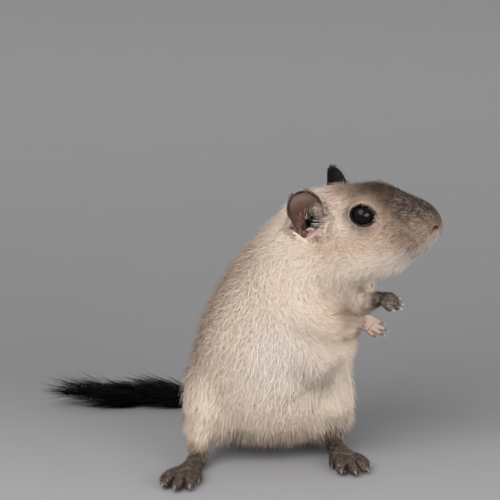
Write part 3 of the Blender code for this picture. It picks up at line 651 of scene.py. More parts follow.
def earSheet(side, grow, levels=34, around=30):
    # the cup's surface, its radius changed by grow, as a grid of points
    s = earSettings
    root, rise, opening, across = earFrame(side)
    rows = throughRows(s["widths"], 6)
    made = np.zeros((levels, around, 3))
    for i in range(levels):
        share = i / (levels - 1)
        half = np.interp(share, rows[:, 0], rows[:, 1]) * s["slim"]["left" if side > 0 else "right"]
        curl = math.radians(s["curl"][0] + (s["curl"][1] - s["curl"][0]) * min(1, share * 1.25))
        radius = half / math.sin(min(curl, math.pi / 2))
        turn = curl * np.linspace(-1, 1, around)
        made[i] = (root + rise * s["length"] * share + np.outer((radius + grow) * np.sin(turn), across)
                   - np.outer((radius + grow) * np.cos(turn) - radius * math.cos(curl), opening))
    return made


def lobes(side):
    return [egg(onHead(place[0], side * place[1], place[2]), radii, headTurn)
            for place, radii in (*earSettings["lobes"], earSettings["pad"])]


def canalLocal(points, side):
    # ahead, inward and up from the mouth of the ear canal, and 1 on its rim
    s = earSettings["canal"]
    local = (points - onHead(s["place"][0], side * s["place"][1], s["place"][2])) @ headTurn * (1, -side, 1)
    return local, np.hypot(local[:, 0] / s["wide"], local[:, 2] / s["high"])


def withEyesOpen(points):
    # flesh that would lie over the eyes, pressed in behind them
    for side in sides.values():
        spread, front = eyeSpread(points, side)
        centre = eyeCentre(side)
        away = np.linalg.norm(points - centre, axis=1)
        over = (front > 0) & (spread < 1) & (away < 7)
        pressed = eyeSettings["pressedTo"]
        wanted = np.minimum(away, pressed + (away - pressed) * smoothstep(0.88, 0.98, spread))
        share = (wanted / np.maximum(away, 1e-6))[:, None]
        points = np.where(over[:, None], centre + (points - centre) * share, points)
    return points


def withCanals(points, normals):
    # the ear canals, pressed in towards the head
    for side in sides.values():
        local, spread = canalLocal(points, side)
        deep = earSettings["canal"]["deep"]
        wanted = deep * np.sqrt(np.clip(1 - spread**2, 0, 1))
        outward = normals @ headTurn[:, 1] * side > -0.2
        pressed = (spread < 1) & (np.abs(local[:, 1]) < deep) & outward
        inward = np.where(pressed, np.maximum(wanted - local[:, 1], 0), 0)
        points = points - np.outer(inward, side * headTurn[:, 1])
    return points


def ear(side):
    thick = earSettings["thick"] / 2
    outer, inner = earSheet(side, thick), earSheet(side, -thick)
    levels, around = outer.shape[:2]
    points = np.vstack([outer.reshape(-1, 3), inner.reshape(-1, 3)])
    grid = np.arange(levels * around).reshape(levels, around)
    back = grid + levels * around
    a, b, c, d = grid[:-1, :-1], grid[:-1, 1:], grid[1:, 1:], grid[1:, :-1]
    quads = [np.stack([a, b, c, d], -1).reshape(-1, 4),
             np.stack([back[:-1, 1:], back[:-1, :-1], back[1:, :-1], back[1:, 1:]], -1).reshape(-1, 4)]
    for line, turnedBack in ((grid[0], back[0]), (grid[-1], back[-1])):
        quads.append(np.stack([line[:-1], line[1:], turnedBack[1:], turnedBack[:-1]], -1))
    for line, turnedBack in ((grid[:, 0], back[:, 0]), (grid[:, -1], back[:, -1])):
        quads.append(np.stack([line[:-1], line[1:], turnedBack[1:], turnedBack[:-1]], -1))
    quads = np.vstack(quads)
    return points, np.vstack([quads[:, [0, 1, 2]], quads[:, [0, 2, 3]]])


pawSettings = {
    "heel": {"right": (-16.8, -9.0), "left": (19.2, 4.2)},
    "heading": {"right": -105, "left": -76},
    "footRows": [(1.6, 0, 6.5, 2.2, 2.3), (1, 0, 3.9, 2.3, 2.5), (3.4, 0, 2.2, 2.3, 2.1), (9, 0, 2, 2.5, 1.8),
                 (14, 0, 1.8, 3.4, 1.6), (17, 0, 1.5, 3.2, 1.3)],
    "toes": [(11.5, 2.5, 19, 5.4, 1.15), (15.2, 2.3, 10, 7.6, 1.38), (16.2, 0.2, 1, 8.4, 1.42),
             (15.4, -1.9, -10, 7.6, 1.38), (12.6, -2.8, -20, 6.4, 1.2)],
    "wrist": {"right": (25.6, -13.3, 41.6), "left": (30.8, -2.8, 45.0)},
    "points": {"right": (0.9, -0.12, -0.4), "left": (0.9, -0.42, -0.02)},
    "back": {"right": (-0.1, -0.8, 0.6), "left": (0.1, -0.5, 0.86)},
    "droop": {"right": 0.06, "left": 0.6},
    "bulk": {"right": 1.0, "left": 1.25}, "fingerShare": {"right": 1.0, "left": 0.82},
    "handRows": [(-0.5, 0, 0, 1.9, 1.8), (1.4, 0, 0.1, 2.3, 1.6), (3.0, 0, 0.3, 2.3, 1.2)],
    "fingers": [(2.2, 1.85, 3, 4.4, 0.7), (2.6, 0.64, 1, 5.6, 0.74), (2.6, -0.62, -1, 5.3, 0.74),
                (2.2, -1.8, -4, 4.1, 0.68)],
    "toeClaw": 1.7, "fingerClaw": 1.3,
}


def paw(origin, ahead, left, up, rows, digits, arch, droop):
    # sole or palm and digits as closed bodies, each claw's root, way and size, and the lines between digits
    def place(x, y, z):
        return origin + ahead * x + left * y + up * z

    path = throughRows(rows, 4)
    bodies = [loft([place(*p[:3]) for p in path], [left] * len(path), path[:, 3:5], 20, (0.5, 0.5), 3)]
    claws, middles = [], []
    for reach, aside, splay, length, radius in digits:
        turn = math.radians(splay)
        way = unit(ahead * math.cos(turn) + left * math.sin(turn))
        root = place(reach, aside, radius + 0.35)
        tip = root + way * length - up * droop * length
        start = root - way * 1.2
        rowsOfDigit = []
        for share in np.linspace(0, 1, 15):
            # two knuckles, and a pad under the tip
            knuckle = math.exp(-((share - 0.42) / 0.11) ** 2) + 0.8 * math.exp(-((share - 0.74) / 0.09) ** 2)
            lift = arch * radius * math.sin(math.pi * share)
            pad = math.exp(-((share - 0.9) / 0.1) ** 2)
            size = radius * (0.98 - 0.2 * share + 0.09 * knuckle + 0.08 * pad)
            rowsOfDigit.append((*(start + (tip - start) * share + up * (lift - 0.12 * radius * pad)), size))
        rowsOfDigit = np.array(rowsOfDigit)
        side = np.cross(up, tip - root)
        halves = [(r, r) for r in rowsOfDigit[:, 3]]
        bodies.append(loft(rowsOfDigit[:, :3], [side] * len(halves), halves, 12, (0.6, 0.8), 3))
        claws.append((tip + way * radius * 0.2 + up * radius * 0.25, way, up, radius * 0.52))
        middles.append((root + up * radius * 0.5, tip + up * radius * 0.5))
    lines = [(root + (nextRoot - root) * 0.5, tip + (nextTip - tip) * 0.5)
             for (root, tip), (nextRoot, nextTip) in zip(middles, middles[1:])]
    return bodies, claws, lines


def foot(which, side):
    s = pawSettings
    turn = math.radians(s["heading"][which])
    ahead = np.array((math.cos(turn), math.sin(turn), 0))
    left = np.array((-ahead[1], ahead[0], 0))
    digits = [(r, -side * a, -side * splay, length, radius) for r, a, splay, length, radius in s["toes"]]
    return paw(np.array((*s["heel"][which], 0)) + sourceShift, ahead, left, np.array((0, 0, 1.0)),
               s["footRows"], digits, 0.55, 0.02)


def hand(which, side):
    s = pawSettings
    ahead = unit(np.array(s["points"][which]))
    up = np.array(s["back"][which])
    up = unit(up - ahead * up.dot(ahead))
    bulk = s["bulk"][which]
    share = s["fingerShare"][which]
    digits = [(r, -side * a * bulk, -side * splay, length * share, radius * bulk)
              for r, a, splay, length, radius in s["fingers"]]
    rows = [(x, y, z, wide * bulk, thick * bulk) for x, y, z, wide, thick in s["handRows"]]
    return paw(np.array(s["wrist"][which]) + sourceShift - ahead * 0.8, ahead, np.cross(up, ahead), up,
               rows, digits, 0.5, s["droop"][which])


sides = {"right": -1, "left": 1}
feet = {which: foot(which, side) for which, side in sides.items()}
hands = {which: hand(which, side) for which, side in sides.items()}
print("paws shaped")

skinSettings = {"grain": 0.34, "swell": 0.22, "facesKept": 150000}
fleshNodes = ["torso", "neck", "head"] + [part + "_" + which for part in ("arm", "thigh", "shank")
                                          for which in ("right", "left")]

legJoin = {"right": [(-16.3, -6.6, 9.5), (-17, -8.6, 5.6), (-17.0, -9.4, 3.4)],
           "left": [(19.3, 2.6, 9.5), (19.8, 3.6, 5.6), (19.6, 3.6, 3.4)]}
legJoinRadii = (2.6, 2.2, 2.0)
ankles = {"right": [(-14.8, -4, 14), (-16.3, -6.6, 9.5), (-17, -8.6, 5.6), (-17.2, -9.6, 3.0)],
          "left": [(18.2, 0.8, 14), (19.3, 2.6, 9.5), (19.8, 3.6, 5.6), (19.8, 3.0, 3.0)]}
wristSlim = {"by": 0.36, "from": (-0.9, 0.3), "to": (0.75, 1.15), "reach": (5.0, 7.0)}
ankleSlim = {"by": 0.3, "from": (3.2, 5.0), "to": (9.0, 14.0), "reach": (5.5, 7.5)}
armJoin = {"right": [(22.5, -13.3, 40.6), (25.6, -13.3, 41.2), (28.0, -13.6, 40.9)],
           "left": [(28.6, -0.6, 44.0), (31.2, -3.0, 45.0), (33.6, -4.1, 45.3)]}
armJoinRadii = (2.6, 2.1, 1.7)
chestFill = {"place": (13.6, -8.3, 33.6), "reach": (11.2, 9.2, 11.6)}  # the soft flank below the near arm
armBlend = {"place": (23, -22, 37), "reach": (9, 14)}  # where the near arm melts into the flank
rumpSlim = {"by": 0.5, "across": (-3.0, 5.0), "up": (20, 34), "offFloor": (3, 8)}
crownLift = {"lift": 1.1, "across": 6.5, "from": (-9, 0), "to": (14, 20)}
bellyLift = {"place": (10, -6), "reach": (15, 14), "lift": 2.4, "under": 16}
tailNeck = (-1.0, 9.0, 13.5, 3.4)  # where the tail leaves the rump: place, radius
tailEnd = (0.85, 0.4)  # how far its core narrows at its last two points


def skinForm():
    # the flesh nodes swollen a little so that they meet, with finer ears, lids, paws and tail
    pieces = []
    for name in fleshNodes:
        points, triangles = welded(*meshArrays(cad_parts[name]))
        pieces.append((points + withNormals(points, triangles) * skinSettings["swell"], triangles))
    for which, side in sides.items():
        pieces += feet[which][0] + hands[which][0] + [ear(side), lidRing(side)] + lobes(side)
        for join, radii in ((legJoin, legJoinRadii), (armJoin, armJoinRadii)):
            pieces.append(tube([(*p, r) for p, r in zip(fromSource(join[which]), radii)]))
    tail = fromSource([(*p, r * tailCore) for p, r in zip(tailLine, tailRadii)])[: -tailHair["bare"]]
    tail[-2:, 3] *= tailEnd
    pieces.append(egg(fromSource([chestFill["place"]])[0], chestFill["reach"]))
    tail = np.vstack([fromSource([tailNeck]), tail])
    pieces.append(tube(tail, 6, (0.3, 1.0, 0.2)))
    whole = meshFrom("skin", *together(pieces))
    remesh = whole.modifiers.new("Fuse", "REMESH")
    remesh.mode = "VOXEL"
    remesh.voxel_size = skinSettings["grain"] * toMetres
    points, triangles = meshArrays(whole)
    bpy.data.objects.remove(whole)
    return points, triangles


# where the belly's edge folds over the far thigh: across and up, as seen from the near side
fold = {"line": [(33, 29.5), (28.8, 25.0), (23.0, 20.3), (17.7, 16.6)], "raise": 0.8, "lower": 1.0,
        "soft": 1.7, "reach": 3.5, "tilt": 14}


def acrossAndUp(points):
    turn = math.radians(fold["tilt"])
    return np.stack([points[:, 0], points[:, 1] * math.sin(turn) + points[:, 2] * math.cos(turn)], axis=1)


def fromFold(points):
    # distance to the fold line, more than zero above it, and 1 where it is at its deepest
    flat = np.column_stack([acrossAndUp(points), np.zeros(len(points))])
    line = np.column_stack([fold["line"], np.zeros(len(fold["line"]))])
    away = np.full(len(points), 99.0)
    signed = np.zeros(len(points))
    for start, end in zip(line, line[1:]):
        off = fromLine(flat, start, end)
        way = unit(end - start)
        above = np.sign((flat[:, 0] - start[0]) * way[1] - (flat[:, 1] - start[1]) * way[0])
        signed = np.where(off < away, above, signed)
        away = np.minimum(away, off)
    return away * signed, away


def shellOnly(points, triangles):
    # the largest closed surface: what a remesh seals inside is dropped
    parent = np.arange(len(points))
    edges = edgesOf(triangles)
    while True:
        low = np.minimum(parent[edges[:, 0]], parent[edges[:, 1]])
        before = parent.copy()
        np.minimum.at(parent, edges[:, 0], low)
        np.minimum.at(parent, edges[:, 1], low)
        parent = parent[parent]
        if (parent == before).all():
            break
    labels, counts = np.unique(parent[triangles[:, 0]], return_counts=True)
    keep = parent[triangles[:, 0]] == labels[counts.argmax()]
    used, index = np.unique(triangles[keep], return_inverse=True)
    return points[used], index.reshape(-1, 3)


def near(points, centre, inner, outer):
    # 1 within inner millimetres of a place, falling to 0 at outer
    return 1 - smoothstep(inner, outer, np.linalg.norm(points - centre, axis=1))


def withSlimAnkles(points):
    # the legs narrowed where the paws begin
    s = ankleSlim
    for rows in ankles.values():
        line = fromSource(rows)[::-1]
        centre = np.column_stack([np.interp(points[:, 2], line[:, 2], line[:, k]) for k in (0, 1)])
        off = points[:, :2] - centre
        share = smoothstep(*s["from"], points[:, 2]) * (1 - smoothstep(*s["to"], points[:, 2]))
        share = share * (1 - smoothstep(*s["reach"], np.linalg.norm(off, axis=1)))
        points = np.column_stack([centre + off * (1 - s["by"] * share)[:, None], points[:, 2]])
    return points


def withSlimWrists(points):
    # the forearms narrowed towards the hands
    s = wristSlim
    for rows in armJoin.values():
        line = fromSource(rows)
        start, end = line[0], line[-1]
        way = end - start
        share = (points - start) @ way / (way @ way)
        off = points - start - np.outer(share, way)
        away = np.linalg.norm(off, axis=1)
        amount = s["by"] * smoothstep(*s["from"], share) * (1 - smoothstep(*s["to"], share)) * (
            1 - smoothstep(*s["reach"], away))
        points = points - off * amount[:, None]
    return points


def sculpted(points, triangles):
    edges = edgesOf(triangles)
    local = headLocal(points)
    # fine forms keep their shape, broad ones are smoothed
    fine = np.zeros(len(points))
    for which, side in sides.items():
        fine = np.maximum(fine, near(points, eyeCentre(side), 4.5, 5.8))
        for place, _ in earSettings["lobes"]:
            fine = np.maximum(fine, near(points, onHead(place[0], side * place[1], place[2]), 2.2, 3.0))
        sheet = earSheet(side, 0, 10, 8).reshape(-1, 3)
        tree = treeOf(sheet)
        close = np.linalg.norm(points - sheet.mean(axis=0), axis=1) < 12
        away = np.full(len(points), 9.0)
        away[close] = [tree.find(p)[2] for p in points[close]]
        fine = np.maximum(fine, 1 - smoothstep(1.4, 2.6, away))
        for bodies, _, _ in (feet[which], hands[which]):
            allPoints = np.vstack([b[0] for b in bodies])
            low, high = allPoints.min(axis=0) - 1.0, allPoints.max(axis=0) + 1.0
            fine = np.maximum(fine, ((points > low) & (points < high)).all(axis=1))
    mouth = smoothstep(9, 12, local[:, 0]) * smoothstep(4, -4, np.abs(local[:, 2] + 5) - 5)
    fine = np.maximum(fine, 0.8 * mouth)
    points = relaxed(points, edges, 45, 0.5 * (1 - fine) ** 2)
    points = relaxed(points, edges, 3, 0.35)
    fields = coatFields(points)
    depth = fields[:, 3]
    for side in sides.values():
        depth = depth * (1 - near(points, eyeCentre(side), 4.2, 6.2))
    onTail = smoothstep(7.9, 11.4, points[:, 1]) * (1 - smoothstep(3.6, 6.0, tailAway(points)))
    depth = depth * (1 - onTail) * (1 - np.minimum(fine, 1) * (depth < 1.6))
    normals = relaxed(withNormals(points, triangles), edges, 4, 0.5)
    points = points - unit(normals) * (depth + 0.2 * (1 - fine) * (1 - onTail))[:, None]
    points = relaxed(points, edges, 8, 0.4 * (1 - fine))
    signed, away = fromFold(points)
    nearSide = smoothstep(0.0, 0.5, -normals[:, 1])
    bend = np.exp(-away / fold["reach"]) * nearSide
    bend *= fold["raise"] - (fold["raise"] + fold["lower"]) * smoothstep(fold["soft"], -fold["soft"], signed)
    points = points + unit(normals) * bend[:, None]
    blend = near(points, np.array(armBlend["place"]), *armBlend["reach"])
    points = relaxed(points, edges, 50, 0.5 * blend * (1 - fine))
    r = rumpSlim
    slim = r["by"] * (1 - smoothstep(*r["across"], points[:, 0])) * (1 - smoothstep(*r["up"], points[:, 2]))
    slim = slim * (1 - onTail) * (1 - fine) * smoothstep(*r["offFloor"], points[:, 2])
    points = points - unit(normals) * slim[:, None]
    points = relaxed(withSlimWrists(withSlimAnkles(points)), edges, 3, 0.4 * (away < 8) * (1 - fine))
    b = bellyLift
    spread = np.linalg.norm((points[:, :2] - b["place"]) / b["reach"], axis=1)
    lift = b["lift"] * (1 - smoothstep(0.75, 1.1, spread)) * (1 - smoothstep(6, b["under"], points[:, 2]))
    points[:, 2] += lift
    ring = np.zeros(len(points))
    for side in sides.values():
        eyeAway = np.linalg.norm(points - eyeCentre(side), axis=1)
        ring = np.maximum(ring, (1 - smoothstep(7.0, 10.0, eyeAway)) * smoothstep(4.3, 5.4, eyeAway))
    points = relaxed(points, edges, 45, 0.5 * ring)
    c = crownLift
    share = np.exp(-(local[:, 1] / c["across"]) ** 2) * smoothstep(*c["from"], local[:, 0]) * (
        1 - smoothstep(*c["to"], local[:, 0])) * smoothstep(0, 4, local[:, 2])
    points = points + np.outer(c["lift"] * share, headTurn[:, 2])
    points = withEyesOpen(withCanals(points, normals))
    canal = np.min([canalLocal(points, side)[1] for side in sides.values()], axis=0)
    return relaxed(points, edges, 3, 0.4 * (canal < 1.2)), triangles


skinPoints, skinTriangles = shellOnly(*skinForm())
print("skin fused:", len(skinTriangles), "triangles")
skinPoints, skinTriangles = sculpted(skinPoints, skinTriangles)
print("skin sculpted")


def thinned(name, share):
    # the whole skin as an object with fewer triangles where it is flat
    obj = meshFrom(name, skinPoints, skinTriangles)
    obj.modifiers.new("Thin", "DECIMATE").ratio = share
    mesh = bpy.data.meshes.new_from_object(obj.evaluated_get(bpy.context.evaluated_depsgraph_get()))
    obj.modifiers.clear()
    obj.data = mesh
    return obj


skin = thinned("skin", skinSettings["facesKept"] / len(skinTriangles))  # what shows between the tufts
skinNormals = unit(relaxed(withNormals(skinPoints, skinTriangles), edgesOf(skinTriangles), 14, 0.5))

proxySettings = {"share": 0.09, "islandAngle": 66, "islandGap": 0.004, "patch": 0.003}


def unwrappedProxy():
    # a coarse copy of the skin, unwrapped: it gives each tuft's place on the OFBake map
    proxy = thinned("proxy", proxySettings["share"])
    mesh = proxy.data
    mesh.uv_layers.new(name="OFBake")
    bpy.context.view_layer.objects.active = proxy
    for other in bpy.context.selected_objects:
        other.select_set(False)
    proxy.select_set(True)
    bpy.ops.object.mode_set(mode="EDIT")
    bpy.ops.mesh.select_all(action="SELECT")
    bpy.ops.uv.smart_project(angle_limit=math.radians(proxySettings["islandAngle"]),
                             island_margin=proxySettings["islandGap"])
    bpy.ops.object.mode_set(mode="OBJECT")
    mesh.calc_loop_triangles()
    points = readArray(mesh.vertices, "co", 3).astype(float) / toMetres
    corners = readArray(mesh.loop_triangles, "vertices", 3, np.int32)
    loops = readArray(mesh.loop_triangles, "loops", 3, np.int32)
    uv = readArray(mesh.uv_layers["OFBake"].data, "uv", 2)[loops]
    bpy.data.objects.remove(proxy)
    return points, corners, uv


proxyPoints, proxyTriangles, proxyUv = unwrappedProxy()
proxyNormals = withNormals(proxyPoints, proxyTriangles)
proxyTree = BVHTree.FromPolygons(proxyPoints.tolist(), proxyTriangles.tolist(), all_triangles=True)


def onProxy(points):
    # nearest places on the proxy: place, smooth normal and OFBake coordinates
    found = [proxyTree.find_nearest(p)[::2] for p in points.tolist()]
    places = np.array([f[0] for f in found])
    faces = np.array([f[1] for f in found])
    a, b, c = (proxyPoints[proxyTriangles[faces, k]] for k in range(3))
    whole = np.cross(b - a, c - a)
    area = np.maximum((whole * whole).sum(axis=1), 1e-12)
    wa = (np.cross(b - places, c - places) * whole).sum(axis=1) / area
    wb = (np.cross(c - places, a - places) * whole).sum(axis=1) / area
    weights = np.clip(np.stack([wa, wb, 1 - wa - wb], axis=1), 0, 1)
    weights /= weights.sum(axis=1, keepdims=True)
    normals = unit((proxyNormals[proxyTriangles[faces]] * weights[:, :, None]).sum(axis=1))
    return places, normals, (proxyUv[faces] * weights[:, :, None]).sum(axis=1)


print("skin unwrapped:", len(proxyTriangles), "proxy triangles")

furSettings = {
    "amount": 0.95, "clump": 0.06, "tuftsInClump": 7, "lean": 0.46, "sway": 0.12, "strayShare": 0.08,
    "hemDroop": 1.9, "slim": 0.68, "skinShading": 0.8, "flatness": 0.5, "shortest": 2.3,
    "mostInPiece": 18500, "overFloor": 0.15, "sunk": 0.12,
}


def earLocal(points, side):
    # how far up the ear a point lies, its distances from the cup's sheet and its edge, whether it is on the
    # sheet's inner side, and whether it is well within the cup
    root, rise, _, _ = earFrame(side)
    grid = earSheet(side, 0, 24, 20)
    outward = unit(earSheet(side, 0.5, 24, 20) - grid).reshape(-1, 3)
    flat = grid.reshape(-1, 3)
    tree, edgeTree = treeOf(flat), treeOf(np.vstack([grid[5:, 0], grid[5:, -1], grid[-1]]))
    share = (points - root) @ rise / earSettings["length"]
    away, edgeAway = np.full(len(points), 99.0), np.full(len(points), 99.0)
    inside, within = np.zeros(len(points), bool), np.zeros(len(points), bool)
    for i in np.flatnonzero(np.linalg.norm(points - flat.mean(axis=0), axis=1) < 13):
        _, index, away[i] = tree.find(points[i])
        edgeAway[i] = edgeTree.find(points[i])[2]
        inside[i] = (points[i] - flat[index]) @ outward[index] < -0.05
        within[i] = inside[i] and 1 < index % 20 < 18
    return share, away, edgeAway, inside, within & (away < 3.4) & (share > 0.02)


# depth, length, width and density of the short hair of the ears
cupHair = {"back": (0.12, 1.0, 0.1, 42), "lining": (0.1, 0.7, 0.06, 8), "edge": (0.15, 1.0, 0.1, 22)}
# painted shade in the gaps between digits: how far from the line between two digits it is full, and where it
# ends
shadeBetweenDigits = {"hand": (0.1, 0.34), "foot": (0.25, 0.6)}
# the nostrils: a middle without fur, and a slit painted dark as the shade of the opening
nostrils = {"middle": (19.4, 2.25, -1.7), "slit": (19.3, 2.3, -1.5), "radii": (1.1, 1.2, 0.55)}
noseTip = {"place": (20.3, 0, -0.8), "radii": (1.6, 2.6, 1.8)}
darkMark, liningMark, bareMark = range(3)


def furFields():
    # the coat's direction, its measures (depth, length, width, density) and its marks at each skin point
    fields = coatFields(skinPoints)
    flow, measures = fields[:, :3], fields[:, 3:].copy()
    marks = np.zeros((len(skinPoints), 3))
    local = headLocal(skinPoints)

    def mark(column, amount):
        marks[:, column] = np.maximum(marks[:, column], amount)

    for which, side in sides.items():
        spread, front = eyeSpread(skinPoints, side)
        seen = front > 0.5
        rim = (1 - smoothstep(1.0, 1.45, spread)) * seen
        measures[:, 0] *= 1 - 0.6 * rim
        measures[:, 1] *= 1 - 0.55 * rim
        measures[seen & (spread < 1.0), 3] = 0
        mark(darkMark, (1 - smoothstep(1.0, 1.06, spread)) * seen)
        mark(liningMark, 0.6 * (1 - smoothstep(1.12, 1.24, spread)) * seen)
        share, away, edgeAway, inside, within = earLocal(skinPoints, side)
        onEar = (away < 0.95) & ((share > 0.45) | (inside & (share > 0.1)))
        outside = onEar & ~inside
        lining = (onEar & inside) | within
        flow[onEar] = earFrame(side)[1]
        measures[outside] = cupHair["back"]
        measures[lining] = cupHair["lining"]
        marks[outside, darkMark] = smoothstep(0.5, 0.68, share[outside])
        marks[lining, liningMark] = 1
        lowEdge = (away < 0.95) & (edgeAway < 1.7) & (share > -0.02) & (share < 0.5)
        marks[lowEdge, liningMark] = 1
        measures[lowEdge] = cupHair["edge"]
        mark(darkMark, np.where(onEar & (edgeAway < 1.0), 0.75 * smoothstep(0.48, 0.6, share), 0))
        canal, canalSpread = canalLocal(skinPoints, side)
        hollow = (canalSpread < 1.1) & (canal[:, 1] > 0.3) & (canal[:, 1] < 5)
        # painted shade in the ear canal, darker the deeper it goes
        marks[hollow, darkMark] = smoothstep(0.3, 1.6, canal[hollow, 1])
        measures[hollow, 3] = 0
        for place, radii in earSettings["lobes"]:
            centre = onHead(place[0], side * place[1], place[2])
            off = np.linalg.norm((skinPoints - centre) @ headTurn / radii, axis=1)
            lobe = 1 - smoothstep(1.05, 1.5, off)
            mark(bareMark, lobe)
            marks[:, darkMark] *= 1 - lobe
            measures[:, 3] *= 1 - 0.8 * lobe
            measures[:, :2] *= (1 - 0.6 * lobe)[:, None]
        # painted shade in the gaps between fingers and between toes
        for limb, wide in ((hands[which], shadeBetweenDigits["hand"]), (feet[which], shadeBetweenDigits["foot"])):
            for start, end in limb[2]:
                mark(darkMark, 0.9 - 0.9 * smoothstep(*wide, fromLine(skinPoints, start, end)))
        for root, way, _, _ in hands[which][1] if side < 0 else ():
            mark(bareMark, 0.35 * near(skinPoints, root - way * 2.4, 2.2, 3.2))
        middle, slit = (np.array(nostrils[key]) * (1, side, 1) for key in ("middle", "slit"))
        measures[np.linalg.norm(local - middle, axis=1) < 0.8, 3] = 0
        slitAway = np.linalg.norm((local - slit) / nostrils["radii"], axis=1)
        # the nostril slits painted dark: painted shade standing for their openings
        mark(darkMark, 0.9 - 0.9 * smoothstep(0.8, 1.3, slitAway))
    _, away = fromFold(skinPoints)
    measures[:, 0] *= 1 - 0.2 * np.exp(-((away / 2.0) ** 2)) * smoothstep(0.0, 0.5, -skinNormals[:, 1])
    noseAway = np.linalg.norm((local - noseTip["place"]) / noseTip["radii"], axis=1)
    measures[noseAway < 1, 3] *= 0.4
    measures[skinPoints[:, 2] < 0.7, 3] = 0
    return flow, measures, marks


def scattered(flow, measures, marks):
    # roots spread over the skin by density, with what lies at each one
    a, b, c = (skinPoints[skinTriangles[:, k]] for k in range(3))
    area = np.linalg.norm(np.cross(b - a, c - a), axis=1) / 2
    wanted = area * measures[skinTriangles, 3].mean(axis=1) * furSettings["amount"]
    counts = np.floor(wanted + rng.random(len(wanted))).astype(int)
    faces = np.repeat(np.arange(len(skinTriangles)), counts)
    r1, r2 = np.sqrt(rng.random(len(faces))), rng.random(len(faces))
    weights = np.stack([1 - r1, r1 * (1 - r2), r1 * r2], axis=1)[:, :, None]
    corners = skinTriangles[faces]
    return [(values[corners] * weights).sum(axis=1)
            for values in (skinPoints, skinNormals, flow, measures, marks)]


def waves(points, size, seed):
    # a smooth wandering vector, about -1 to 1, that changes over the given length
    draw = np.random.default_rng(seed)
    total = np.zeros((len(points), 3))
    for _ in range(6):
        way = draw.normal(size=3)
        way *= 2 * math.pi / size / np.linalg.norm(way)
        total += np.outer(np.sin(points @ way + draw.random() * 6.28), draw.normal(size=3))
    return total / 3


def grown(roots, normals, flow, measures):
    # middle and tip of each tuft, laid over the skin along the flow and gathered into clumps
    s = furSettings
    count = len(roots)
    depth, length = measures[:, 0], measures[:, 1]
    way = unit(flow + waves(roots, 14, 3) * s["sway"] * 1.6 + waves(roots, 4, 4) * s["sway"] * 0.6)
    facing = (way * normals).sum(axis=1, keepdims=True)
    hang = smoothstep(0.15, 0.75, facing[:, 0])
    pressed = normals * facing * np.where(facing < 0, 1.0, 0.75)
    laid = unit(way - pressed + rng.normal(size=(count, 3)) * s["lean"])
    size = length * rng.uniform(0.72, 1.22, count)
    stray = rng.random(count) < s["strayShare"]
    size[stray] *= 1.2
    height = depth * rng.uniform(0.8, 1.06, count)
    height[stray] *= 1.7
    midPlace, midNormal, _ = onProxy(roots + laid * (size * 0.5)[:, None])
    tipPlace, tipNormal, _ = onProxy(roots + laid * size[:, None])
    free = roots + normals * (depth * 0.4)[:, None] + unit(laid * 0.4 + way) * size[:, None]
    middle = midPlace + midNormal * (height * 0.78)[:, None]
    tip = tipPlace + tipNormal * height[:, None]
    middle += (roots + (free - roots) * 0.5 - middle) * hang[:, None]
    tip += (free - tip) * hang[:, None]
    hem = smoothstep(0.1, 0.6, -normals[:, 2]) * (roots[:, 2] < 22) * smoothstep(1.5, 3.0, length)
    tip[:, 2] -= hem * rng.random(count) ** 2 * s["hemDroop"]
    seeds = rng.permutation(count)[: max(1, count // s["tuftsInClump"])]
    tree = treeOf(roots[seeds])
    leader = seeds[np.array([tree.find(p)[1] for p in roots.tolist()])]
    pull = (s["clump"] * rng.uniform(0.5, 1.3, count) * (~stray))[:, None]
    pull = pull * np.minimum(1, length / 2.0)[:, None]
    tip = tip + (tip[leader] - tip) * pull
    middle = middle + (middle[leader] - middle) * pull * 0.35
    onTail = tailRoots(roots)[:, None]
    atTip = 1 - smoothstep(*tailHair["tipFrom"], roots[:, :1])
    flared = way + normals * tailHair["flare"] * (1 - 0.8 * atTip)
    spread = unit(flared + rng.normal(size=(count, 3)) * tailHair["lean"])
    size = size[:, None] * (1 + 0.3 * atTip)
    middle = np.where(onTail, roots + (spread + normals * 0.12 * (1 - atTip)) * size * 0.5, middle)
    tip = np.where(onTail, roots + spread * size, tip)
    for place in (middle, tip):
        place[:, 2] = np.maximum(place[:, 2], s["overFloor"])
    _, _, uv = onProxy(roots)
    return middle, tip, midNormal, tipNormal, leader, uv


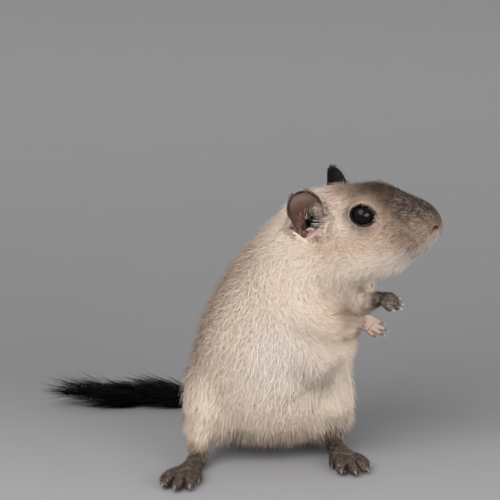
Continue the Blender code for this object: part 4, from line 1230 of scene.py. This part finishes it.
def tuftPiece(name, pathPoints, pathNormals, widths, uv, chance, tone, roots, marks):
    # joined closed tufts of three sides: a ring at each path point but the last, which is the tip
    s = furSettings
    count, rings = len(roots), len(pathPoints) - 1
    angle = np.radians((90, 210, 330))
    perTuft = rings * 3 + 1
    points = np.zeros((count, perTuft, 3))
    normals = np.zeros((count, perTuft, 3))
    along = np.zeros((count, perTuft))
    for i in range(rings):
        ahead = unit(pathPoints[i + 1] - pathPoints[max(i - 1, 0)])
        side = unit(np.cross(ahead, pathNormals[i]))
        top = np.cross(side, ahead)
        half = widths * (0.5 if i == 0 else 0.42) * s["slim"]
        for k, turn in enumerate(angle):
            radial = side * math.cos(turn) + top * math.sin(turn) * s["flatness"]
            points[:, i * 3 + k] = pathPoints[i] + radial * half[:, None]
            normals[:, i * 3 + k] = pathNormals[i] * s["skinShading"] + unit(radial) * (1 - s["skinShading"])
        along[:, i * 3 : i * 3 + 3] = i / rings
    points[:, -1] = pathPoints[-1]
    normals[:, -1] = pathNormals[-1]
    along[:, -1] = 1
    faces = [(0, 1, 2)]
    for i in range(rings - 1):
        for k in range(3):
            a, b = i * 3 + k, i * 3 + (k + 1) % 3
            faces += [(a, b + 3, b), (a, a + 3, b + 3)]
    for k in range(3):
        faces.append(((rings - 1) * 3 + (k + 1) % 3, (rings - 1) * 3 + k, perTuft - 1))
    faces = np.array(faces)
    triangles = (faces[None] + (np.arange(count) * perTuft)[:, None, None]).reshape(-1, 3)
    obj = meshFrom(name, points.reshape(-1, 3), triangles)
    mesh = obj.data
    across = np.array([(k % 3) / 2 for k in range(perTuft - 1)] + [0.5])
    patch = np.stack([np.broadcast_to(across - 0.5, (count, perTuft)), along - 0.5], axis=-1)
    coords = np.clip(uv[:, None] + patch * proxySettings["patch"], 0, 1).reshape(-1, 2)
    layer = mesh.uv_layers.new(name="OFBake")
    layer.data.foreach_set("uv", coords[triangles.ravel()].astype(np.float32).ravel())
    setMeasure(mesh, "rootPlace", np.repeat(roots * toMetres, perTuft, axis=0), True)
    setMeasure(mesh, "along", along)
    setMeasure(mesh, "chance", np.repeat(chance, perTuft))
    setMeasure(mesh, "tone", np.repeat(tone, perTuft))
    setMeasure(mesh, "marks", np.repeat(marks, perTuft, axis=0), True)
    mesh.normals_split_custom_set_from_vertices(unit(normals).reshape(-1, 3).astype(np.float32))
    return obj


flow, measures, skinMarks = furFields()
roots, rootNormals, rootFlow, rootMeasures, rootMarks = scattered(unit(flow), measures, skinMarks)
print("tufts:", len(roots))
middles, tips, middleNormals, tipNormals, leaders, rootUv = grown(
    roots, rootNormals, unit(rootFlow), rootMeasures)
print("tufts laid")
tuftChance = rng.random(len(roots))
tuftTone = tuftChance[leaders]
sunk = roots - rootNormals * furSettings["sunk"]


def coatPieces():
    long = rootMeasures[:, 1] >= furSettings["shortest"]
    made = []
    isTail = tailRoots(roots)
    for label, chosen, bends in (("coatShort", ~long & ~isTail, 1), ("coatLong", long & ~isTail, 2),
                                 ("coatTail", isTail, 2)):
        index = np.flatnonzero(chosen)
        index = index[np.argsort(roots[index, 2])]
        most = furSettings["mostInPiece"] * (2 if bends == 1 else 1)
        parts = math.ceil(len(index) / most)
        for number, part in enumerate(np.array_split(index, max(parts, 1))):
            path = [sunk, middles, tips] if bends == 2 else [sunk, tips]
            normals = [rootNormals, middleNormals, tipNormals] if bends == 2 else [rootNormals, tipNormals]
            path, normals = [values[part] for values in path], [values[part] for values in normals]
            made.append(tuftPiece(f"{label}{number + 1}", path, normals, rootMeasures[part, 2],
                                  rootUv[part], tuftChance[part], tuftTone[part], roots[part],
                                  rootMarks[part]))
    return made


earHairSettings = {
    "across": 60, "width": 0.08, "top": (-9.7, 10.6, 2.6), "run": (0.3, 0.6, -7.0), "reach": (2.2, 3.6),
    "jitter": 0.18, "fringe": 200, "fringeWidth": 0.05, "fringeReach": (0.6, 1.3), "fringeSpread": 0.35,
}


def earHairs():
    # pale hairs that lie over the ear canal from its front edge, and a fine fringe on the cup's rim
    s = earHairSettings
    draw = np.random.default_rng(9)
    paths, widths = [], []
    for side in sides.values():
        for _ in range(s["across"]):
            t = draw.random()
            jitter = draw.normal(size=(3, 3)) * s["jitter"]
            start = (np.array(s["top"]) + np.array(s["run"]) * t) * (1, side, 1) + jitter[0]
            reach = draw.uniform(*s["reach"])
            end = start + (-reach, side * draw.uniform(0.3, 0.9), 0.3 - 0.7 * t) + jitter[1]
            middle = (start + end) / 2 + (0, side * 0.45, 0.1)
            paths.append([onHead(*p) for p in (start, middle, end)])
            widths.append(s["width"] * draw.uniform(0.7, 1.2))
        grid = earSheet(side, 0, 24, 20)
        rim = np.vstack([grid[8:, 0], grid[-1], grid[8:, -1][::-1]])
        middleOfCup = grid[14].mean(axis=0)
        for _ in range(s["fringe"]):
            at = draw.random() * (len(rim) - 1.001)
            i = int(at)
            start = rim[i] + (rim[i + 1] - rim[i]) * (at - i)
            way = unit(unit(start - middleOfCup) + draw.normal(size=3) * s["fringeSpread"])
            way = way * draw.uniform(*s["fringeReach"])
            paths.append([start, start + way * 0.55, start + way])
            widths.append(s["fringeWidth"])
    paths = np.array(paths)
    outward = np.array([headTurn[:, 1] * np.sign(headLocal(p[0])[1]) for p in paths])
    count = len(paths)
    return tuftPiece("earHairs", [paths[:, k] for k in range(3)], [outward] * 3, np.array(widths),
                     onProxy(paths[:, 0])[2], draw.random(count), draw.random(count), paths[:, 0],
                     np.zeros((count, 3)))


coat = coatPieces()
coat.append(earHairs())
print("coat:", len(coat), "pieces,", sum(len(o.data.polygons) for o in coat), "triangles")


def spike(root, way, up, length, radius, around=10, rings=8):
    # a curved horn that narrows to a point
    shares = np.linspace(0, 1, rings)
    centres = [root + way * length * t - up * length * 0.38 * t * t for t in shares]
    sizes = [(radius * (1 - 0.93 * t), radius * 1.25 * (1 - 0.93 * t)) for t in shares]
    return loft(centres, [np.cross(way, up)] * rings, sizes, around, (0.3, 0.4), 2)


def clawPiece(name, limbs, length):
    pieces, shares = [], []
    for which in sides:
        for root, way, up, radius in limbs[which][1]:
            pieces.append(spike(root - way * 0.3, way, up, length + 0.3, radius))
            shares.append(np.clip((pieces[-1][0] - root) @ way / length, 0, 1))
    obj = meshFrom(name, *together(pieces))
    setMeasure(obj.data, "along", np.hstack(shares))
    return obj


toeClaws = clawPiece("toeClaws", feet, pawSettings["toeClaw"])
fingerClaws = clawPiece("fingerClaws", hands, pawSettings["fingerClaw"])
print("claws made")

eyeballs = {"around": 48, "rows": 30, "bulge": 0.28, "bulgeReach": 2.9, "inset": 0.12}
tearRadii = (0.95, 0.5, 0.42)


def eyeball(which, side):
    # a ball with the clear front standing a little proud
    e = eyeballs
    out, corner, up = eyeAxes(side)
    turn = np.stack([corner, up, out], axis=1)
    radius = eyeSettings["radius"] - e["inset"]
    points, triangles = egg((0, 0, 0), [radius] * 3, None, e["around"], e["rows"])
    off = np.linalg.norm(points[:, :2], axis=1)
    rise = e["bulge"] * np.clip(1 - (off / e["bulgeReach"]) ** 2, 0, 1) ** 1.5 * (points[:, 2] > 0)
    points = points + unit(points) * rise[:, None]
    return meshFrom("eyeball_" + which, eyeCentre(side) + points @ turn.T, triangles)


def tearCorner(which, side):
    # the small wet fold in the front corner of the eye
    out, corner, up = eyeAxes(side)
    centre = eyeCentre(side) + corner * 3.7 + out * 1.75 + up * 0.05
    shape = egg(centre, tearRadii, np.stack([corner, up, out], axis=1))
    return meshFrom("eyeCorner_" + which, *shape)


eyes = [eyeball(which, side) for which, side in sides.items()]
tears = [tearCorner(which, side) for which, side in sides.items()]
print("eyes made")

# the whiskers' roots are given by the front one of the top row, the way back along a row and down to the next
whiskerSettings = {
    "rows": 4, "inRow": 4, "longest": 19, "shortest": 7, "root": 0.035, "tip": 0.01,
    "front": (17.2, 2.6, -1.6), "alongRow": (-5.2, 1.6, 0.3), "rowDrop": 1.25, "sweep": 0.42,
}


def whiskerPiece():
    s = whiskerSettings
    draw = np.random.default_rng(5)
    pieces = []
    for side in sides.values():
        for row in range(s["rows"]):
            for place in range(s["inRow"]):
                back = place / (s["inRow"] - 1)
                start = np.array(s["front"]) - (0, 0, s["rowDrop"] * row) + np.array(s["alongRow"]) * back
                start = onHead(start[0], side * start[1], start[2])
                way = headTurn @ unit(np.array((0.30 - 0.55 * back, side, -0.12 - 0.16 * row)))
                behind = headTurn @ unit(np.array((-1.0, 0, -0.25)))
                length = (s["shortest"] + (s["longest"] - s["shortest"]) * back) * draw.uniform(0.85, 1.15)
                shares = np.linspace(0, 1, 9)
                centres = [start + (way * t + behind * s["sweep"] * t * t) * length for t in shares]
                sizes = [(s["root"] + (s["tip"] - s["root"]) * t,) * 2 for t in shares]
                pieces.append(loft(centres, [(0, 0, 1)] * 9, sizes, 5, (0.5, 0.5), 1))
    return meshFrom("whiskers", *together(pieces))


whiskers = whiskerPiece()
print("whiskers made")


# "root" and "towardsTip" paint shade into every tuft, darkest at its root and lighter towards its tip; ticks,
# silver hairs, tips and tones are the hairs' own colour
furLook = {
    "ownChance": 0.55, "clumpChance": 0.45,
    "brown": {"muzzle": 0.7, "crown": 0.4, "face": 0.3, "spine": 0.3}, "brownAll": 0.35,
    "silver": {"blaze": 0.12, "socks": 0.75, "muzzle": 0.35},
    "ticked": (0.58, 0.72), "silvered": (0.36, 0.24), "tips": 0.4,
    "root": 0.88, "towardsTip": 0.14, "byChance": 0.14, "byTone": 0.14, "byToneOnFace": 0.26,
}


def furFinish(name):
    finish = Finish(name, Roughness=0.65, Specular_IOR_Level=0.1)
    colour, on = coatColour(finish, finish.attribute("rootPlace", 1), finish.attribute("marks", 1))
    along, chance, tone = (finish.attribute(key, 2) for key in ("along", "chance", "tone"))
    f = furLook
    luck = chance * f["ownChance"] + tone * f["clumpChance"]
    brown = sum(on[place] * share for place, share in f["brown"].items()) + f["brownAll"]
    ticked = luck.step(*f["ticked"]) * brown.least(1) * along.step(0.1, 0.5) * on["coloured"]
    tick = finish.mix(coatColours["back"], coatColours["mask"], (on["muzzle"] + on["crown"]).least(1))
    colour = finish.mix(colour, tick, ticked)
    silver = sum(on[place] * share for place, share in f["silver"].items())
    silver = luck.step(*f["silvered"]) * silver.least(1)
    colour = finish.mix(colour, coatColours["cream"], silver * along.step(0.0, 0.4) * on["coloured"])
    tips = along.step(0.35, 0.9) * (chance - 0.5) * f["tips"]
    byTone = (tone - 0.5) * (on["face"] * f["byToneOnFace"] + f["byTone"])
    # painted shade along each tuft, darker at the root, with the tuft's own random tone and tip on top
    amount = along * f["towardsTip"] + f["root"] + (chance - 0.5) * f["byChance"] + byTone + tips
    return finish.set(Base_Color=finish.tint(colour, amount))


def skinFinish(name):
    finish = Finish(name, Roughness=0.6, Specular_IOR_Level=0.12)
    place = finish.place()
    colour, _ = coatColour(finish, place, finish.attribute("marks", 1))
    pores = finish.noise(place, 2600, 3)
    _, lining, bare = finish.parts(finish.attribute("marks", 1))
    shown = lining.most(bare)
    # painted shade: skin under the coat is darkened to 0.62, with pores adding up to 0.2; ear lining and bare
    # skin, which no coat covers, get 0.3 more
    return finish.set(Base_Color=finish.tint(colour, pores * 0.2 + 0.62 + shown * 0.3),
                      Normal=finish.bump(pores, 0.4, 0.0002))


def eyeFinish(name):
    finish = Finish(name, Roughness=0.05, Specular_IOR_Level=0.16)
    place = finish.place()
    fibres = finish.noise(place, 900, 3)
    return finish.set(Base_Color=finish.mix(shade(4, 3, 3), shade(16, 10, 8), fibres * 0.5),
                      Roughness=fibres * 0.03 + 0.03)


def tearFinish(name):
    finish = Finish(name, Roughness=0.25)
    place = finish.place()
    veins = finish.noise(place, 1500, 2)
    return finish.set(Base_Color=finish.mix(shade(96, 50, 50), shade(48, 26, 27), veins))


def clawFinish(name, rootColour, tipColour):
    finish = Finish(name, Roughness=0.35)
    place = finish.place()
    streaks = finish.noise(place, 1200, 3)
    along = finish.attribute("along", 2)
    share = (along + (streaks - 0.5) * 0.5).step(0.3, 0.95)
    return finish.set(Base_Color=finish.mix(rootColour, tipColour, share), Roughness=streaks * 0.2 + 0.25)


finishes = {
    "fur": furFinish("furCoat"), "skin": skinFinish("skinUnderFur"), "eye": eyeFinish("darkEye"),
    "earHair": clawFinish("paleEarHair", shade(176, 156, 142), shade(220, 206, 194)),
    "tear": tearFinish("eyeCorner"),
    "toeClaw": clawFinish("darkClaw", shade(52, 42, 38), shade(140, 124, 110)),
    "fingerClaw": clawFinish("paleClaw", shade(92, 76, 70), shade(196, 182, 170)),
    "whisker": clawFinish("whiskerHair", shade(150, 134, 122), shade(214, 202, 192)),
}


def settle(obj, finish, slot, *replaced):
    obj.data.materials.append(finishes[finish])
    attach(obj, "root")
    if replaced:
        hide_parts(*replaced)


skinTree = treeOf(skinPoints)
nearest = [skinTree.find(v.co / toMetres)[1] for v in skin.data.vertices]
setMeasure(skin.data, "marks", skinMarks[nearest], True)
for piece in coat:
    settle(piece, "earHair" if piece.name == "earHairs" else "fur",
           "tail_coat" if "Tail" in piece.name else "coat")
settle(skin, "skin", "coat", *[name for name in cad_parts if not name.startswith("eye")])
for piece, tear, which in zip(eyes, tears, sides):
    settle(piece, "eye", "eye", "eye_" + which)
    settle(tear, "tear", "eye")
settle(toeClaws, "toeClaw", "paw")
settle(fingerClaws, "fingerClaw", "paw")
settle(whiskers, "whisker", "coat")
print("pieces settled")

stageSettings = {"half": 3.0, "cells": 60, "height": -0.02}  # the height alone is in millimetres
cameraSettings = {"lens": 240, "sensor": 36, "place": (0.0050, -0.8809, 0.2756), "tilt": 76}
worldLight = {"colour": (0.56, 0.56, 0.57, 1), "strength": 1.1}
# the floor's pale and dim shades; the dim band is painted shade for the lamps' fall-off
floorShades = {"pale": shade(143, 142, 143), "dim": shade(120, 119, 120)}
lampAim = (0.02, 0, 0.04)
# each lamp: where it stands, its size, its power
lamps = {
    "key": ((-0.50, -0.90, 0.95), 1.2, 19.5),
    "fill": ((0.80, -1.0, 0.16), 1.0, 20.0),
    "catchLeft": ((-0.33, -0.80, 0.34), 0.06, 0.22),
    "catchRight": ((0.10, -0.86, 0.36), 0.06, 0.20),
}


def setStage():
    s = stageSettings
    steps = np.linspace(-s["half"], s["half"], s["cells"] + 1) / toMetres
    grid = np.array([(x, y, s["height"]) for y in steps for x in steps])
    n = s["cells"] + 1
    corner = np.array([j * n + i for j in range(s["cells"]) for i in range(s["cells"])])
    triangles = np.vstack([np.stack([corner, corner + 1, corner + n + 1], 1),
                           np.stack([corner, corner + n + 1, corner + n], 1)])
    floor = meshFrom("floor", grid, triangles)
    finish = Finish("paleFloor", Roughness=0.85, Specular_IOR_Level=0.2)
    place = finish.place()
    _, y, _ = finish.parts(place)
    grain = finish.noise(place, 60, 3)
    # painted light fall-off: pale at the front, dimming to about 8 cm behind the animal, and pale again
    # towards 60 cm behind
    colour = finish.mix(floorShades["pale"], floorShades["dim"], y.step(-0.07, 0.085))
    colour = finish.mix(colour, floorShades["pale"], y.step(0.0, 0.62))
    finish.set(Base_Color=finish.tint(colour, grain * 0.04 + 0.98))
    floor.data.materials.append(finish.material)


def setCamera():
    s = cameraSettings
    data = bpy.data.cameras.new("camera")
    data.lens, data.sensor_width = s["lens"], s["sensor"]
    data.clip_start, data.clip_end = 0.01, 20
    camera = bpy.data.objects.new("camera", data)
    camera.location = s["place"]
    camera.rotation_euler = (math.radians(s["tilt"]), 0, 0)
    bpy.context.scene.collection.objects.link(camera)
    bpy.context.scene.camera = camera


def setLights():
    for name, (place, size, power) in lamps.items():
        data = bpy.data.lights.new(name, "AREA")
        data.energy, data.size, data.shape = power, size, "DISK"
        lamp = bpy.data.objects.new(name, data)
        lamp.location = place
        lamp.rotation_euler = (Vector(lampAim) - lamp.location).to_track_quat("-Z", "Y").to_euler()
        bpy.context.scene.collection.objects.link(lamp)
    world = bpy.data.worlds.new("studio")
    world.use_nodes = True
    background = world.node_tree.nodes["Background"].inputs
    background["Color"].default_value = worldLight["colour"]
    background["Strength"].default_value = worldLight["strength"]
    bpy.context.scene.world = world
    bpy.context.scene.view_settings.view_transform = "Standard"


setStage()
setCamera()
setLights()
print("stage, camera and lights set")
